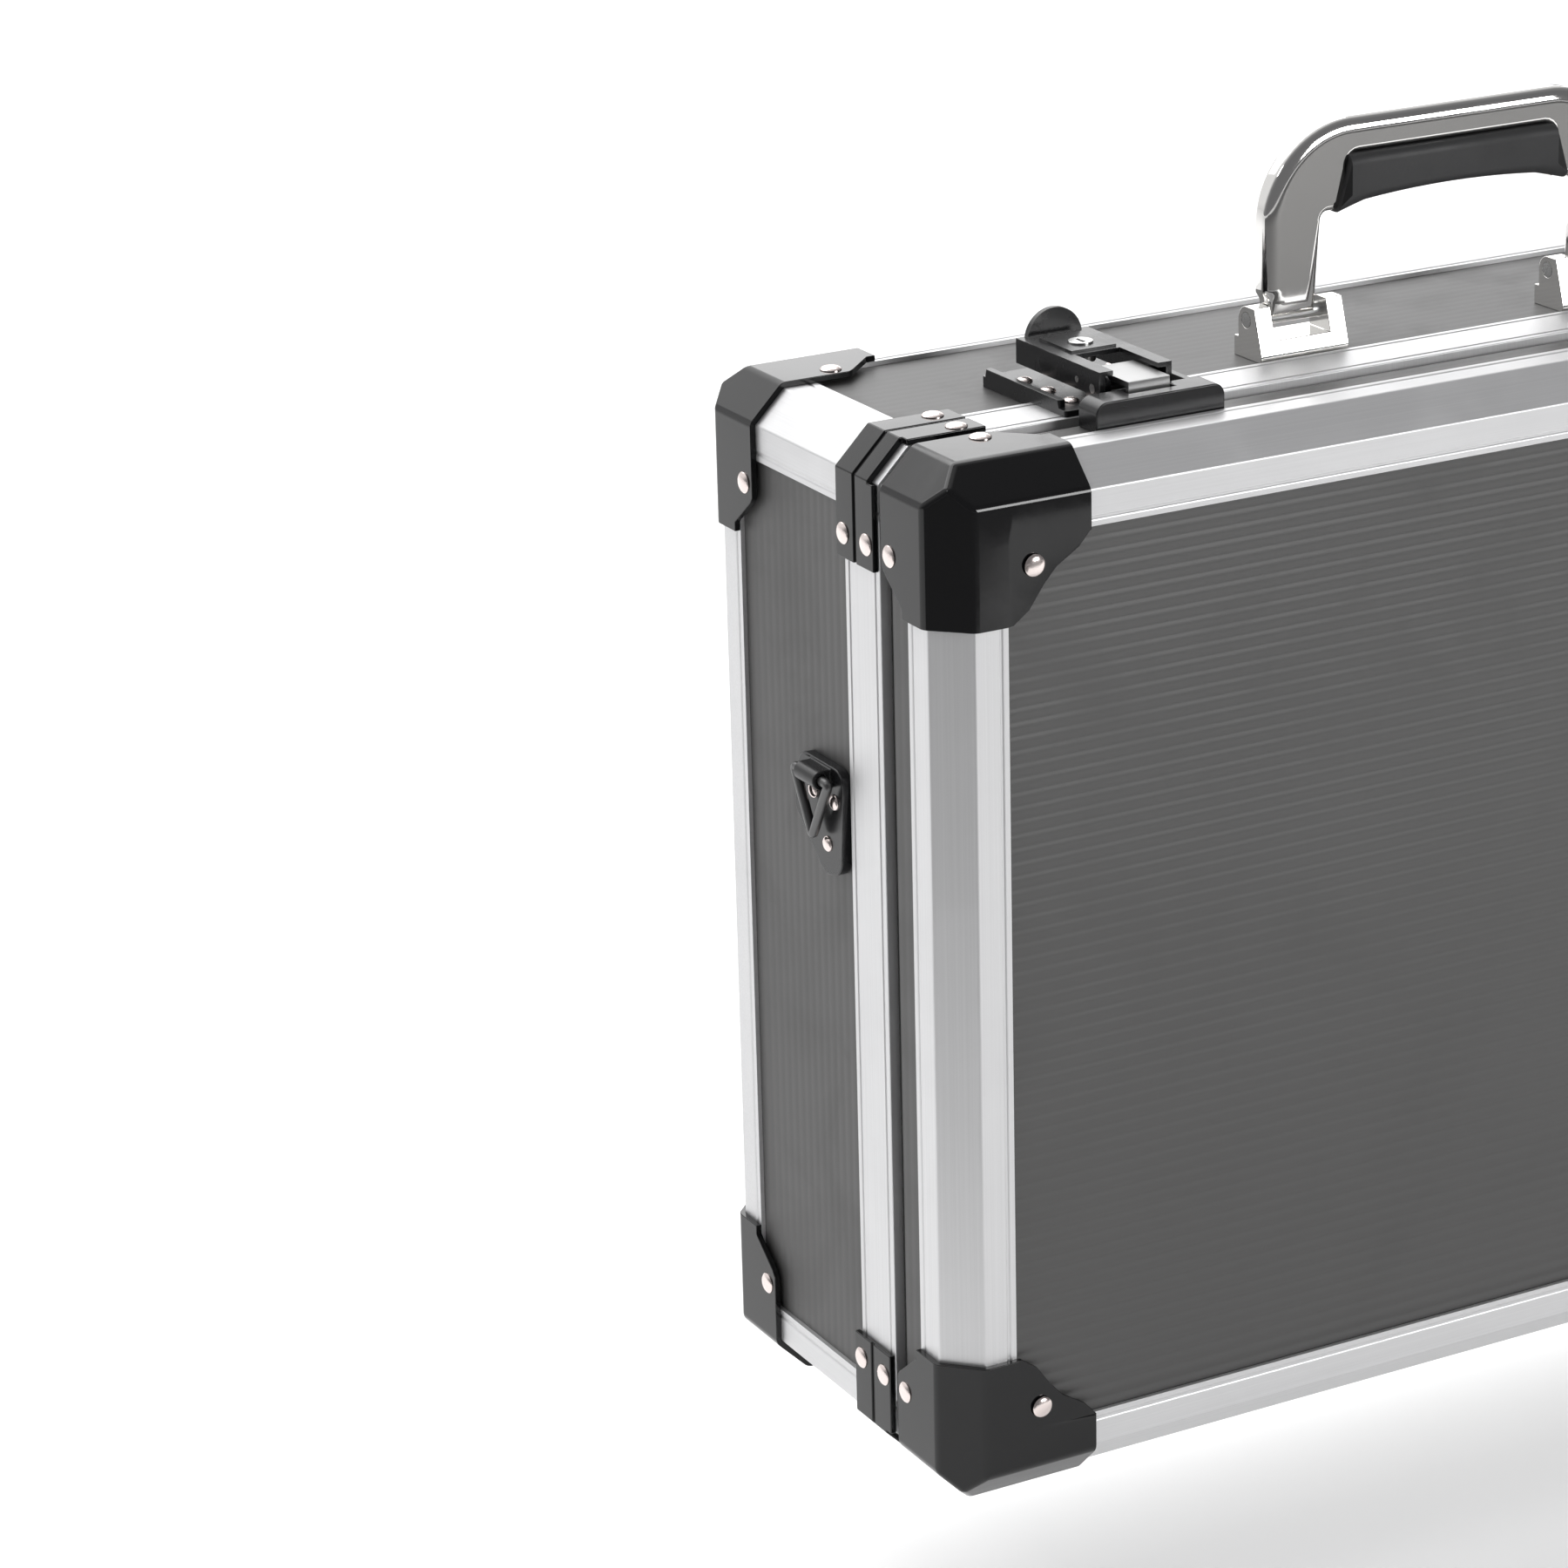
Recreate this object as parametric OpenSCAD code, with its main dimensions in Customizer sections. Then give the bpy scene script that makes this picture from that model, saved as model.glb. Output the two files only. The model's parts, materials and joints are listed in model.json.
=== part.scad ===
/* [Case] */
// Width over the aluminium edges
case_w = 456; // [420:2:500]
// Depth over the aluminium edges, closed
case_d = 152; // [146:1:180]
// Height over the aluminium edges
case_h = 338; // [320:2:380]
// Depth of the lid's own walls
lid_d = 34; // [34:0.5:35]
// Thickness of the lid and base panels
panel_t = 3; // [2.5:0.1:3]

/* [Aluminium edges] */
// Width of each flange of an edge profile
edge_w = 22; // [21:0.5:23]
// Leg of the 45 degree chamfer on every edge
edge_chamfer = 10.5; // [9:0.5:11]
// Sheet thickness of the profiles
edge_t = 1.5; // [1.3:0.1:1.6]
// Width of the flat strip round the mouth of the base
rim_w = 22; // [20:0.5:22]
// Open gap between the lid's walls and the base strip
parting_gap = 4.8; // [4.6:0.1:5]

/* [Corner guards] */
// How far the corner guards stand proud of the profiles
guard_t = 2; // [1.9:0.1:2.4]
// Reach of a corner guard along the width
guard_x = 50; // [48:1:60]
// Reach of a corner guard along the depth
guard_y = 34.4; // [34:0.1:34.5]
// Reach of a corner guard along the height
guard_z = 48; // [48:1:60]
// Reach of the smaller guards on the base strip
rim_guard = 38; // [36:1:44]
// Radius of the rivet heads on the guards
rivet_r = 3.5; // [2.5:0.1:3.6]
// Radius of the rivet heads on the fittings
small_rivet_r = 2.6; // [2:0.1:2.8]

/* [Handle] */
// Distance from the middle of the case to each handle leg
leg_x = 60; // [58:1:70]
// Width of a handle leg
leg_w = 21; // [20:0.5:22]
// Depth of a handle leg
leg_d = 9.5; // [9:0.5:10.5]
// Height of the handle above the case
handle_h = 72.5; // [71:0.5:82]
// Outer corner radius of the handle
handle_r = 32; // [26:1:34]
// Half the length of the soft grip
grip_half = 40; // [34:1:42]

/* [Latches] */
// Distance from the side of the case to the middle of a latch
latch_in = 90; // [84:1:96]
// Half the width of a latch lever
lever_half = 13; // [12.8:0.1:13.4]
// Length of a latch lever behind its pivot
lever_l = 45.5; // [44:0.5:46]
// Height of the finger lip on a lever
lip_h = 8.5; // [6:0.5:9]

/* [Strap rings] */
// Height of a ring's pivot above the bottom of the case
ring_z = 227; // [190:1:240]
// Length of a ring's bar
ring_w = 22; // [21:0.5:25]
// Drop of a ring below its pivot
ring_drop = 20; // [18:1:22]
// Radius of a ring's wire
ring_r = 1.6; // [1.4:0.1:1.7]

/* [Hidden] */
$fn = 48;
run_gap = 0.05;                    // radial clearance of each pin
eps = 0.01;

half_w = case_w / 2;
half_d = case_d / 2;
z_low = guard_t;                   // underside of the profiles; the guards are the feet at zero
z_top = z_low + case_h;
z_mid = (z_low + z_top) / 2;
rim_y = lid_d + parting_gap;       // front edge of the base, measured from the front
inset = edge_chamfer + 1.5;        // where the panels start under the profiles
wall_in = edge_t + panel_t;        // inner face of the panels, below the profiles

casting_in = 5;                    // wall of a corner guard inside the profiles
casting_cut = 13.2;
lining_in = 5.3;
lining_cut = 3.4;
lining_t = 2.5;
seal_in = 3.2;                     // seal's outer face, set back in the parting gap
seal_depth = 4;

rivet_in = 30;                     // rivets' distance from both edges of a face
rivet_y = 29.2;                    // rivets' distance from the front or the back
rivet_h = 1.3;
rim_rivets = [4.7, 19.2];          // rivets across the base strip

hinge_y = lid_d + parting_gap / 2;
hinge_r = 1.9;
hinge_pin_r = 1;
hinge_half = 171;
knuckles = 19;
leaf_w = 13;

bracket_half = 16.6;
bracket_in = 1.4;                  // bracket's middle, inwards from the leg's
bracket_y = 63.5;
bracket_floor = 5;
cheek_h = 15.5;
slot_gap = 0.4;                    // room beside a leg's knuckle, on the outer side
pivot_y = 72.5;                    // handle's axis, behind the front of the case
pivot_up = 11;                     // handle's axis, above the profiles
pivot_r = 2.5;
knuckle_in = 1.8;                  // how much narrower a leg is on its outer side, between the cheeks
leg_taper = 1.5;                   // how much narrower it is at its foot, on its inner side
finger_h = 43;                     // underside of the grip, above the profiles
band_h = 61;                       // underside of the handle's top band

latch_y = 42;                      // lever's axis, behind the front of the case
latch_up = 7;                      // lever's axis, above the profiles
latch_pin_r = 1.5;
plate_half = 24;
plate_end = 90;
lever_in = 11;                     // inner face of a lever's side
lever_r = 4.4;
lever_top = 4.5;
lever_t = 1.5;
slot_half = 8.1;
slot_end = 18;
hook_at = [9, 1];                  // hook's axis, behind and above the lever's
hook_half = 7.5;
hook_reach = 12.2;
hook_pin_r = 1;
catch_half = 23;
catch_y = [23, 33.6];
catch_up = 8;
lock_y = 28;                       // lock's axis, behind the lever's
lock_r = 4;

ring_y = 76;                       // middle of a ring, behind the front of the case
ring_out = 3.4;                    // ring's axis, out from its plate
clip_half = 6.5;                   // half the length of the clip round a ring's bar
strap_t = 2;                       // strap plate's face, out from the profiles

SIDES = [-1, 1];

function from_front(d) = d - half_d;

// ---------- shared shapes ----------

// Box between two corners
module span(low, high) {
    translate(low) cube(high - low);
}

// Square whose point at the origin is cut off at 45 degrees
module cut_square(low, cut, size) {
    polygon([[low, cut - low], [cut - low, low], [size, low], [size, size], [low, size]]);
}

// Block whose three edges that meet at the origin are cut at 45 degrees
module cut_block(low, cut, size) {
    long = size - low;
    intersection() {
        translate([0, 0, low]) linear_extrude(long) cut_square(low, cut, size);
        translate([low, 0, 0]) rotate([90, 0, 90]) linear_extrude(long) cut_square(low, cut, size);
        translate([0, size, 0]) rotate([90, 0, 0]) linear_extrude(long) cut_square(low, cut, size);
    }
}

// Places what is drawn at the origin, with the case behind, above and to its right, at a corner of the case
module at_corner(sx, sy, sz) {
    translate([sx * half_w, sy * half_d, sz < 0 ? z_low : z_top])
        mirror([sx > 0 ? 1 : 0, 0, 0]) mirror([0, sy > 0 ? 1 : 0, 0]) mirror([0, 0, sz > 0 ? 1 : 0])
            children();
}

// Domed rivet head that stands on z = 0
module rivet_head(r) {
    rim_h = 0.6;
    cylinder(h = rim_h, r = r);
    translate([0, 0, rim_h]) cylinder(h = rivet_h - rim_h, r1 = r, r2 = r * 0.5);
}

// ---------- panels and walls ----------

module face_panel(y) {
    color("dimgray") span([inset - half_w, y, z_low + inset], [half_w - inset, y + panel_t, z_top - inset]);
}

// Top or bottom wall between two distances from the front
module level_wall(sz, y0, y1) {
    color("dimgray") at_corner(-1, -1, sz) span([inset, y0, edge_t], [case_w - inset, y1, wall_in]);
}

// Left or right wall between two distances from the front
module side_wall(sx, y0, y1) {
    color("dimgray") at_corner(sx, -1, -1) span([edge_t, y0, inset], [wall_in, y1, case_h - inset]);
}

// ---------- aluminium profiles ----------

// Section of an edge profile: two flanges joined by a 45 degree face
module edge_section() {
    cut = edge_chamfer + edge_t * sqrt(2);
    polygon([
        [0, edge_w], [0, edge_chamfer], [edge_chamfer, 0], [edge_w, 0],
        [edge_w, edge_t], [cut - edge_t, edge_t], [edge_t, cut - edge_t], [edge_t, edge_w]
    ]);
}

module width_profile(sy, sz) {
    color("silver") at_corner(-1, sy, sz)
        translate([edge_w, 0, 0]) rotate([90, 0, 90]) linear_extrude(case_w - 2 * edge_w) edge_section();
}

module height_profile(sx, sy) {
    color("silver") at_corner(sx, sy, -1)
        translate([0, 0, edge_w]) linear_extrude(case_h - 2 * edge_w) edge_section();
}

module depth_profiles(y0, y1) {
    color("silver") for (sx = SIDES, sz = SIDES)
        at_corner(sx, -1, sz)
            translate([0, y1, 0]) rotate([90, 0, 0]) linear_extrude(y1 - y0) edge_section();
}

module back_profiles() {
    for (s = SIDES) {
        width_profile(1, s);
        height_profile(s, 1);
    }
}

// Section of the strip round the mouth of the base: a face with grooves, and a lip over the wall's edge
module rim_section() {
    groove_w = 1.2;
    groove_t = 0.4;
    difference() {
        union() {
            square([rim_w, edge_t]);
            square([edge_t - 0.1, wall_in]);
        }
        for (part = [0.28, 0.5, 0.72])
            translate([rim_w * part - groove_w / 2, -eps]) square([groove_w, groove_t]);
    }
}

module rim_strips() {
    color("silver") for (s = SIDES) {
        at_corner(-1, -1, s) translate([edge_w, rim_y, 0])
            rotate([90, 0, 90]) linear_extrude(case_w - 2 * edge_w) rim_section();
        at_corner(s, -1, -1) translate([0, rim_y, edge_w])
            linear_extrude(case_h - 2 * edge_w) mirror([1, -1]) rim_section();
    }
}

// ---------- corner guards ----------

// Outline of a guard on the front or the back face
module face_outline() {
    low = -guard_t;
    polygon([
        [low, low], [guard_x, low], [guard_x, edge_w + 0.5], [guard_x - 4, edge_w + 5],
        [38, 32], [33.5, 37], [28.5, guard_z - 4], [edge_w + 1, guard_z], [low, guard_z]
    ]);
}

// Outline of a guard on another face, which is as deep as the lid
module edge_outline(reach) {
    low = -guard_t;
    polygon([
        [low, low], [reach, low], [reach, edge_w - 3], [reach - 4, edge_w + 1],
        [36, guard_y - 1.5], [34, guard_y], [low, guard_y]
    ]);
}

// Three flaps over a corner of the case and the hollow block that fills the corner between the profiles
module corner_guard(sx, sy, sz) {
    outer_cut = edge_chamfer - guard_t * sqrt(2);
    size = guard_x + 12;
    color([0.1, 0.1, 0.1]) at_corner(sx, sy, sz) difference() {
        intersection() {
            cut_block(-guard_t, outer_cut, size);
            union() {
                for (reach = [[guard_x, edge_w, edge_w], [edge_w, guard_y, edge_w], [edge_w, edge_w, guard_z]])
                    span([-guard_t, -guard_t, -guard_t], reach);
                rotate([90, 0, 0]) linear_extrude(guard_t) face_outline();
                translate([0, 0, -guard_t]) linear_extrude(guard_t) edge_outline(guard_x);
                rotate([0, -90, 0]) linear_extrude(guard_t) edge_outline(guard_z);
            }
        }
        difference() {
            cut_block(0, edge_chamfer, size);
            translate([-eps, -eps, -eps]) cube(edge_w + eps);
        }
        cut_block(casting_in, casting_cut, size);
        span([inset - 0.1, inset - 0.1, edge_t - 0.1], [size, size, wall_in + 0.6]);
        span([inset - 0.1, edge_t - 0.1, inset - 0.1], [size, wall_in + 0.6, size]);
        span([edge_t - 0.1, inset - 0.1, inset - 0.1], [wall_in + 0.6, size, size]);
    }
}

// Angle over the base strip at an edge of the case, with a groove round its middle
module rim_corner(sx, sz) {
    y0 = rim_y + 0.5;
    long = rim_w + 1;
    outer_cut = edge_chamfer - guard_t * sqrt(2);
    groove_w = 1.6;
    groove_t = 0.9;
    bare = 3;                      // aluminium left bare on the chamfer, in front of the guard
    color([0.1, 0.1, 0.1]) at_corner(sx, -1, sz) difference() {
        translate([0, y0 + long, 0]) rotate([90, 0, 0]) linear_extrude(long) difference() {
            cut_square(-guard_t, outer_cut, rim_guard);
            cut_square(0, edge_chamfer, 2 * rim_guard);
        }
        translate([0, y0 + (long + groove_w) / 2, 0]) rotate([90, 0, 0]) linear_extrude(groove_w)
            difference() {
                cut_square(-guard_t - 1, outer_cut - sqrt(2), rim_guard + 1);
                cut_square(groove_t - guard_t, outer_cut + groove_t * sqrt(2), 2 * rim_guard);
            }
        span([-guard_t - 1, y0 - 1, -guard_t - 1], [edge_chamfer, y0 + bare, edge_chamfer]);
    }
}

// Rivets of one corner guard; none on the underside, which the case stands on
module corner_rivets(sx, sy, sz) {
    at_corner(sx, sy, sz) {
        translate([rivet_in, -guard_t, rivet_in]) rotate([90, 0, 0]) rivet_head(rivet_r);
        translate([-guard_t, rivet_y, rivet_in]) rotate([0, -90, 0]) rivet_head(rivet_r);
        if (sz > 0) translate([rivet_in, rivet_y, -guard_t]) rotate([180, 0, 0]) rivet_head(rivet_r);
    }
}

module lid_rivets() {
    color("rosybrown") for (sx = SIDES, sz = SIDES) corner_rivets(sx, -1, sz);
}

module base_rivets() {
    color("rosybrown") {
        for (sx = SIDES, sz = SIDES) {
            corner_rivets(sx, 1, sz);
            for (y = rim_rivets) at_corner(sx, -1, sz) {
                translate([-guard_t, rim_y + y, rivet_in]) rotate([0, -90, 0]) rivet_head(rivet_r);
                if (sz > 0) translate([rivet_in, rim_y + y, -guard_t]) rotate([180, 0, 0]) rivet_head(rivet_r);
            }
        }
        for (s = SIDES) {
            for (x = [-16.2, 16.2], y = [49, 63, 77])
                translate([s * (half_w - latch_in) + x, from_front(y), z_top + 2]) rivet_head(small_rivet_r);
            for (at = [[81.3, 219.8], [67.6, 219.8], [72.5, 204.5]])
                translate([s * (half_w + strap_t), from_front(at[0]), at[1]])
                    rotate([0, s * 90, 0]) rivet_head(small_rivet_r);
        }
    }
}

// ---------- seal and linings ----------

// Dark bars that close the gap between the lid and the base
module lid_seal() {
    y0 = lid_d - 3;
    y1 = rim_y - 0.4;
    bar_in = wall_in + 0.1;
    bar_out = seal_in + seal_depth;
    color([0.08, 0.08, 0.08]) for (s = SIDES) {
        at_corner(-1, -1, s) {
            span([edge_w, lid_d + 0.1, seal_in], [case_w - edge_w, y1, bar_in]);
            span([edge_w, y0, bar_in], [case_w - edge_w, y1, bar_out]);
        }
        at_corner(s, -1, -1) {
            span([seal_in, lid_d + 0.1, edge_w], [bar_in, y1, case_h - edge_w]);
            span([bar_in, y0, edge_w], [bar_out, y1, case_h - edge_w]);
        }
    }
}

// Rectangle about the origin with its corners cut at 45 degrees
module cut_rectangle(w, h, cut) {
    polygon([
        [-w, cut - h], [cut - w, -h], [w - cut, -h], [w, cut - h],
        [w, h - cut], [w - cut, h], [cut - w, h], [-w, h - cut]
    ]);
}

// Felt lining tray between two distances from the front; open_low and open_high bound its hollow
module lining_tray(y0, y1, open_low, open_high) {
    w = half_w - lining_in;
    d = half_d - lining_in;
    h = case_h / 2 - lining_in;
    color("darkslategray") difference() {
        intersection() {
            translate([0, 0, z_mid - h]) linear_extrude(2 * h) cut_rectangle(w, d, lining_cut);
            translate([-w, 0, z_mid]) rotate([90, 0, 90]) linear_extrude(2 * w) cut_rectangle(d, h, lining_cut);
            translate([0, d, z_mid]) rotate([90, 0, 0]) linear_extrude(2 * d) cut_rectangle(w, h, lining_cut);
            span([-w, from_front(y0), z_mid - h], [w, from_front(y1), z_mid + h]);
        }
        span([lining_t - w, from_front(open_low), z_mid - h + lining_t],
             [w - lining_t, from_front(open_high), z_mid + h - lining_t]);
    }
}

module lid_lining() {
    y1 = lid_d - 3.2;
    lining_tray(0, y1, lining_in + lining_t, y1 + 1);
}

module base_lining() {
    lining_tray(rim_y + 0.5, case_d, rim_y, case_d - lining_in - lining_t);
}

// ---------- hinge ----------

knuckle_l = 2 * hinge_half / knuckles;

// Leaf on the bottom of the case with every second knuckle; side is 1 for the base and -1 for the lid
module hinge_leaf(side, first, z0, z1) {
    tuck = 0.2;
    color("gray") translate([0, from_front(hinge_y), z_low]) difference() {
        union() {
            for (i = [first:2:knuckles - 1]) {
                x0 = i * knuckle_l - hinge_half + tuck;
                x1 = (i + 1) * knuckle_l - hinge_half - tuck;
                translate([x0, 0, 0]) rotate([0, 90, 0]) cylinder(h = x1 - x0, r = hinge_r);
                mirror([0, side < 0 ? 1 : 0, 0]) span([x0, 0, z0], [x1, leaf_w, z1]);
            }
            mirror([0, side < 0 ? 1 : 0, 0])
                span([-hinge_half, hinge_r + 0.3, z0], [hinge_half, leaf_w, z1]);
        }
        translate([-hinge_half - 1, 0, 0]) rotate([0, 90, 0])
            cylinder(h = 2 * hinge_half + 2, r = hinge_pin_r + run_gap);
    }
}

module base_hinge_leaf() hinge_leaf(1, 0, -1.2, 0);
module lid_hinge_leaf() hinge_leaf(-1, 1, 0.1, edge_t);
module hinge_pin() {
    color("silver") translate([-hinge_half, from_front(hinge_y), z_low])
        rotate([0, 90, 0]) cylinder(h = 2 * hinge_half, r = hinge_pin_r);
}

// ---------- handle ----------

// Chrome block with two cheeks that carry a handle leg, rounded at the back so that the leg can fold
module handle_bracket(s) {
    lean = 4.5;
    back = pivot_y + leg_d / 2 + 2;
    cheek_r = cheek_h - pivot_up;
    slot = leg_w / 2 - knuckle_in + slot_gap + bracket_in;
    color("gainsboro") translate([s * (leg_x - bracket_in), 0, z_top]) difference() {
        translate([-bracket_half, 0, 0]) rotate([90, 0, 90]) linear_extrude(2 * bracket_half) {
            polygon([
                [from_front(bracket_y), -edge_t], [from_front(back), -edge_t],
                [from_front(back), bracket_floor], [from_front(pivot_y + cheek_r), bracket_floor],
                [from_front(pivot_y + cheek_r), pivot_up], [from_front(pivot_y), cheek_h],
                [from_front(bracket_y + lean), cheek_h], [from_front(bracket_y), 1]
            ]);
            translate([from_front(pivot_y), pivot_up]) circle(cheek_r);
        }
        span([-slot, from_front(bracket_y - 1), bracket_floor], [slot, from_front(back + 1), cheek_h + 1]);
        translate([-bracket_half - 1, from_front(pivot_y), pivot_up]) rotate([0, 90, 0])
            cylinder(h = 2 * bracket_half + 2, r = pivot_r + run_gap);
    }
}

module handle_pins() {
    color("dimgray") for (s = SIDES)
        translate([s * (leg_x - bracket_in) - bracket_half, from_front(pivot_y), z_top + pivot_up])
            rotate([0, 90, 0]) cylinder(h = 2 * bracket_half, r = pivot_r);
}

// Outline of the handle, seen from the front, with zero at the top of the case
module handle_outline() {
    outer = leg_x + leg_w / 2;
    inner = leg_x - leg_w / 2;
    knuckle = outer - knuckle_in;
    shoulder = cheek_h + 0.7;
    difference() {
        union() {
            translate([-outer, shoulder]) square([2 * outer, handle_h - handle_r - shoulder]);
            translate([-knuckle, pivot_up]) square([2 * knuckle, shoulder]);
            translate([handle_r - outer, pivot_up]) square([2 * (outer - handle_r), handle_h - pivot_up]);
            for (s = SIDES) translate([s * (outer - handle_r), handle_h - handle_r]) circle(handle_r);
        }
        polygon([[-inner - leg_taper, 0], [-inner, finger_h], [inner, finger_h], [inner + leg_taper, 0]]);
        translate([-grip_half, 0]) square([2 * grip_half, band_h]);
    }
}

module handle_frame() {
    foot = leg_w - knuckle_in - leg_taper;
    foot_x = leg_x + leg_w / 2 - knuckle_in - foot / 2;
    color("gainsboro") translate([0, from_front(pivot_y), z_top]) difference() {
        union() {
            translate([0, leg_d / 2, 0]) rotate([90, 0, 0]) linear_extrude(leg_d) handle_outline();
            for (s = SIDES) translate([s * foot_x - foot / 2, 0, pivot_up])
                rotate([0, 90, 0]) cylinder(h = foot, r = leg_d / 2);
        }
        translate([-half_w, 0, pivot_up]) rotate([0, 90, 0]) cylinder(h = case_w, r = pivot_r + run_gap);
    }
}

module handle_grip() {
    fat = 7.2;
    round_r = 3.5;
    z0 = finger_h + 1.5;
    color([0.12, 0.12, 0.12]) translate([-grip_half, from_front(pivot_y), z_top])
        rotate([90, 0, 90]) linear_extrude(2 * grip_half) hull() {
            for (s = SIDES) translate([s * (fat - round_r), z0 + round_r]) circle(round_r, $fn = 32);
            translate([-leg_d / 2, z0 + 2 * round_r]) square([leg_d, band_h - z0 - 2 * round_r]);
        }
}

// ---------- latches ----------

// Moves to the axis of a latch lever
module at_latch(s) {
    translate([s * (half_w - latch_in), from_front(latch_y), z_top + latch_up]) children();
}

// Cylinder along the width, centred on a point [y, z]
module cross_pin(at, r, half) {
    translate([-half, at[0], at[1]]) rotate([0, 90, 0]) cylinder(h = 2 * half, r = r);
}

// Plate on the base, with raised side ridges and the two ears that carry the lever
module latch_plate(s) {
    ear = [8.1, 10.6];
    ear_r = 3.6;
    face = 2 - latch_up;
    step_y = rim_y + rim_w + 0.2 - latch_y;
    y0 = rim_y + 0.7 - latch_y;
    y1 = plate_end - latch_y;
    color([0.13, 0.13, 0.13]) at_latch(s) difference() {
        union() {
            span([-plate_half, y0, -latch_up], [plate_half, y1, face]);
            span([-plate_half, step_y, -latch_up - edge_t], [plate_half, y1, face]);
            for (k = SIDES) {
                span([k < 0 ? -plate_half : plate_half - 2.4, y0 + 4, face],
                     [k < 0 ? 2.4 - plate_half : plate_half, y1 - 2, face + 2.6]);
                span([k < 0 ? -ear[1] : ear[0], -ear_r, face], [k < 0 ? -ear[0] : ear[1], ear_r, 0]);
                translate([k < 0 ? -ear[1] : ear[0], 0, 0]) rotate([0, 90, 0])
                    cylinder(h = ear[1] - ear[0], r = ear_r);
            }
        }
        cross_pin([0, 0], latch_pin_r + run_gap, ear[1] + 1);
    }
}

module latch_pins() {
    color("silver") for (s = SIDES) at_latch(s) cross_pin([0, 0], latch_pin_r, lever_half);
}

// Channel that turns on its pin, with a slot for the hook, a raised cap, a finger lip and the lock's bore
module lever(s) {
    skirt = 2;
    cap_t = 0.7;
    color([0.13, 0.13, 0.13]) at_latch(s) difference() {
        union() {
            for (k = SIDES) {
                x0 = k < 0 ? -lever_half : lever_in;
                translate([x0, 0, 0]) rotate([0, 90, 0]) cylinder(h = lever_half - lever_in, r = lever_r);
                span([x0, 0, -skirt], [x0 + lever_half - lever_in, lever_l, lever_top + eps]);
                span([x0, -lever_r, 0], [x0 + lever_half - lever_in, 0, lever_top + eps]);
            }
            span([-lever_half, -lever_r, lever_top], [lever_half, lever_l, lever_top + lever_t]);
            span([-slot_half, slot_end + 2, lever_top], [slot_half, lever_l - 6, lever_top + lever_t + cap_t]);
            translate([0, lever_l, 0]) rotate([90, 0, 0]) linear_extrude(2) intersection() {
                translate([0, lever_top + lever_t + lip_h - 10]) circle(10);
                translate([-10, lever_top]) square([20, lip_h + 2]);
            }
        }
        span([-slot_half, -lever_r - 1, lever_top - 1], [slot_half, slot_end, lever_top + lever_t + 1]);
        cross_pin([0, 0], latch_pin_r + run_gap, lever_half + 1);
        cross_pin(hook_at, hook_pin_r + run_gap, lever_half + 1);
        translate([0, lock_y, lever_top - 1]) cylinder(h = lever_t + 2, r = lock_r + run_gap);
    }
}

module hook_pin(s) {
    color("silver") at_latch(s) cross_pin(hook_at, hook_pin_r, lever_half);
}

// Arm that reaches from the lever over its pin and drops into the catch
module hook(s) {
    arm = [1, 3];
    lip_w = 1.6;
    lip_z = -3.5;
    color([0.3, 0.3, 0.3]) at_latch(s) difference() {
        union() {
            cross_pin(hook_at, 2.2, hook_half);
            span([-hook_half, -hook_reach, hook_at[1] + arm[0]], [hook_half, hook_at[0], hook_at[1] + arm[1]]);
            span([-hook_half, -hook_reach, lip_z], [hook_half, lip_w - hook_reach, hook_at[1] + arm[1]]);
        }
        cross_pin(hook_at, hook_pin_r + run_gap, hook_half + 1);
    }
}

// Lock cylinder with a key slot, held by a flange under the lever
module lock(s) {
    flange = 0.8;
    proud = 1.3;
    top = lever_top + lever_t + proud;
    color("darkgray") at_latch(s) translate([0, lock_y, 0]) difference() {
        union() {
            translate([0, 0, 1]) cylinder(h = top - 1, r = lock_r);
            translate([0, 0, 1]) cylinder(h = lever_top - 1.2, r = lock_r + flange);
        }
        translate([-0.6, -2.4, top - 2]) cube([1.2, 4.8, 3]);
    }
}

// Block on the lid with round shoulders and the pocket that the hook drops into
module catch(s) {
    shoulder = 4;
    pocket_half = 8.3;
    pocket = [28, 31.5];
    color([0.13, 0.13, 0.13]) translate([s * (half_w - latch_in), 0, z_top]) difference() {
        translate([0, from_front(catch_y[1]), 0]) rotate([90, 0, 0]) linear_extrude(catch_y[1] - catch_y[0])
            union() {
                translate([-catch_half, -edge_t]) square([2 * catch_half, catch_up - shoulder + edge_t]);
                translate([shoulder - catch_half, -edge_t])
                    square([2 * (catch_half - shoulder), catch_up + edge_t]);
                for (k = SIDES)
                    translate([k * (catch_half - shoulder), catch_up - shoulder]) circle(shoulder);
            }
        span([-pocket_half, from_front(pocket[0]), 3], [pocket_half, from_front(pocket[1]), catch_up + 1]);
    }
}

// ---------- strap rings ----------

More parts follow.
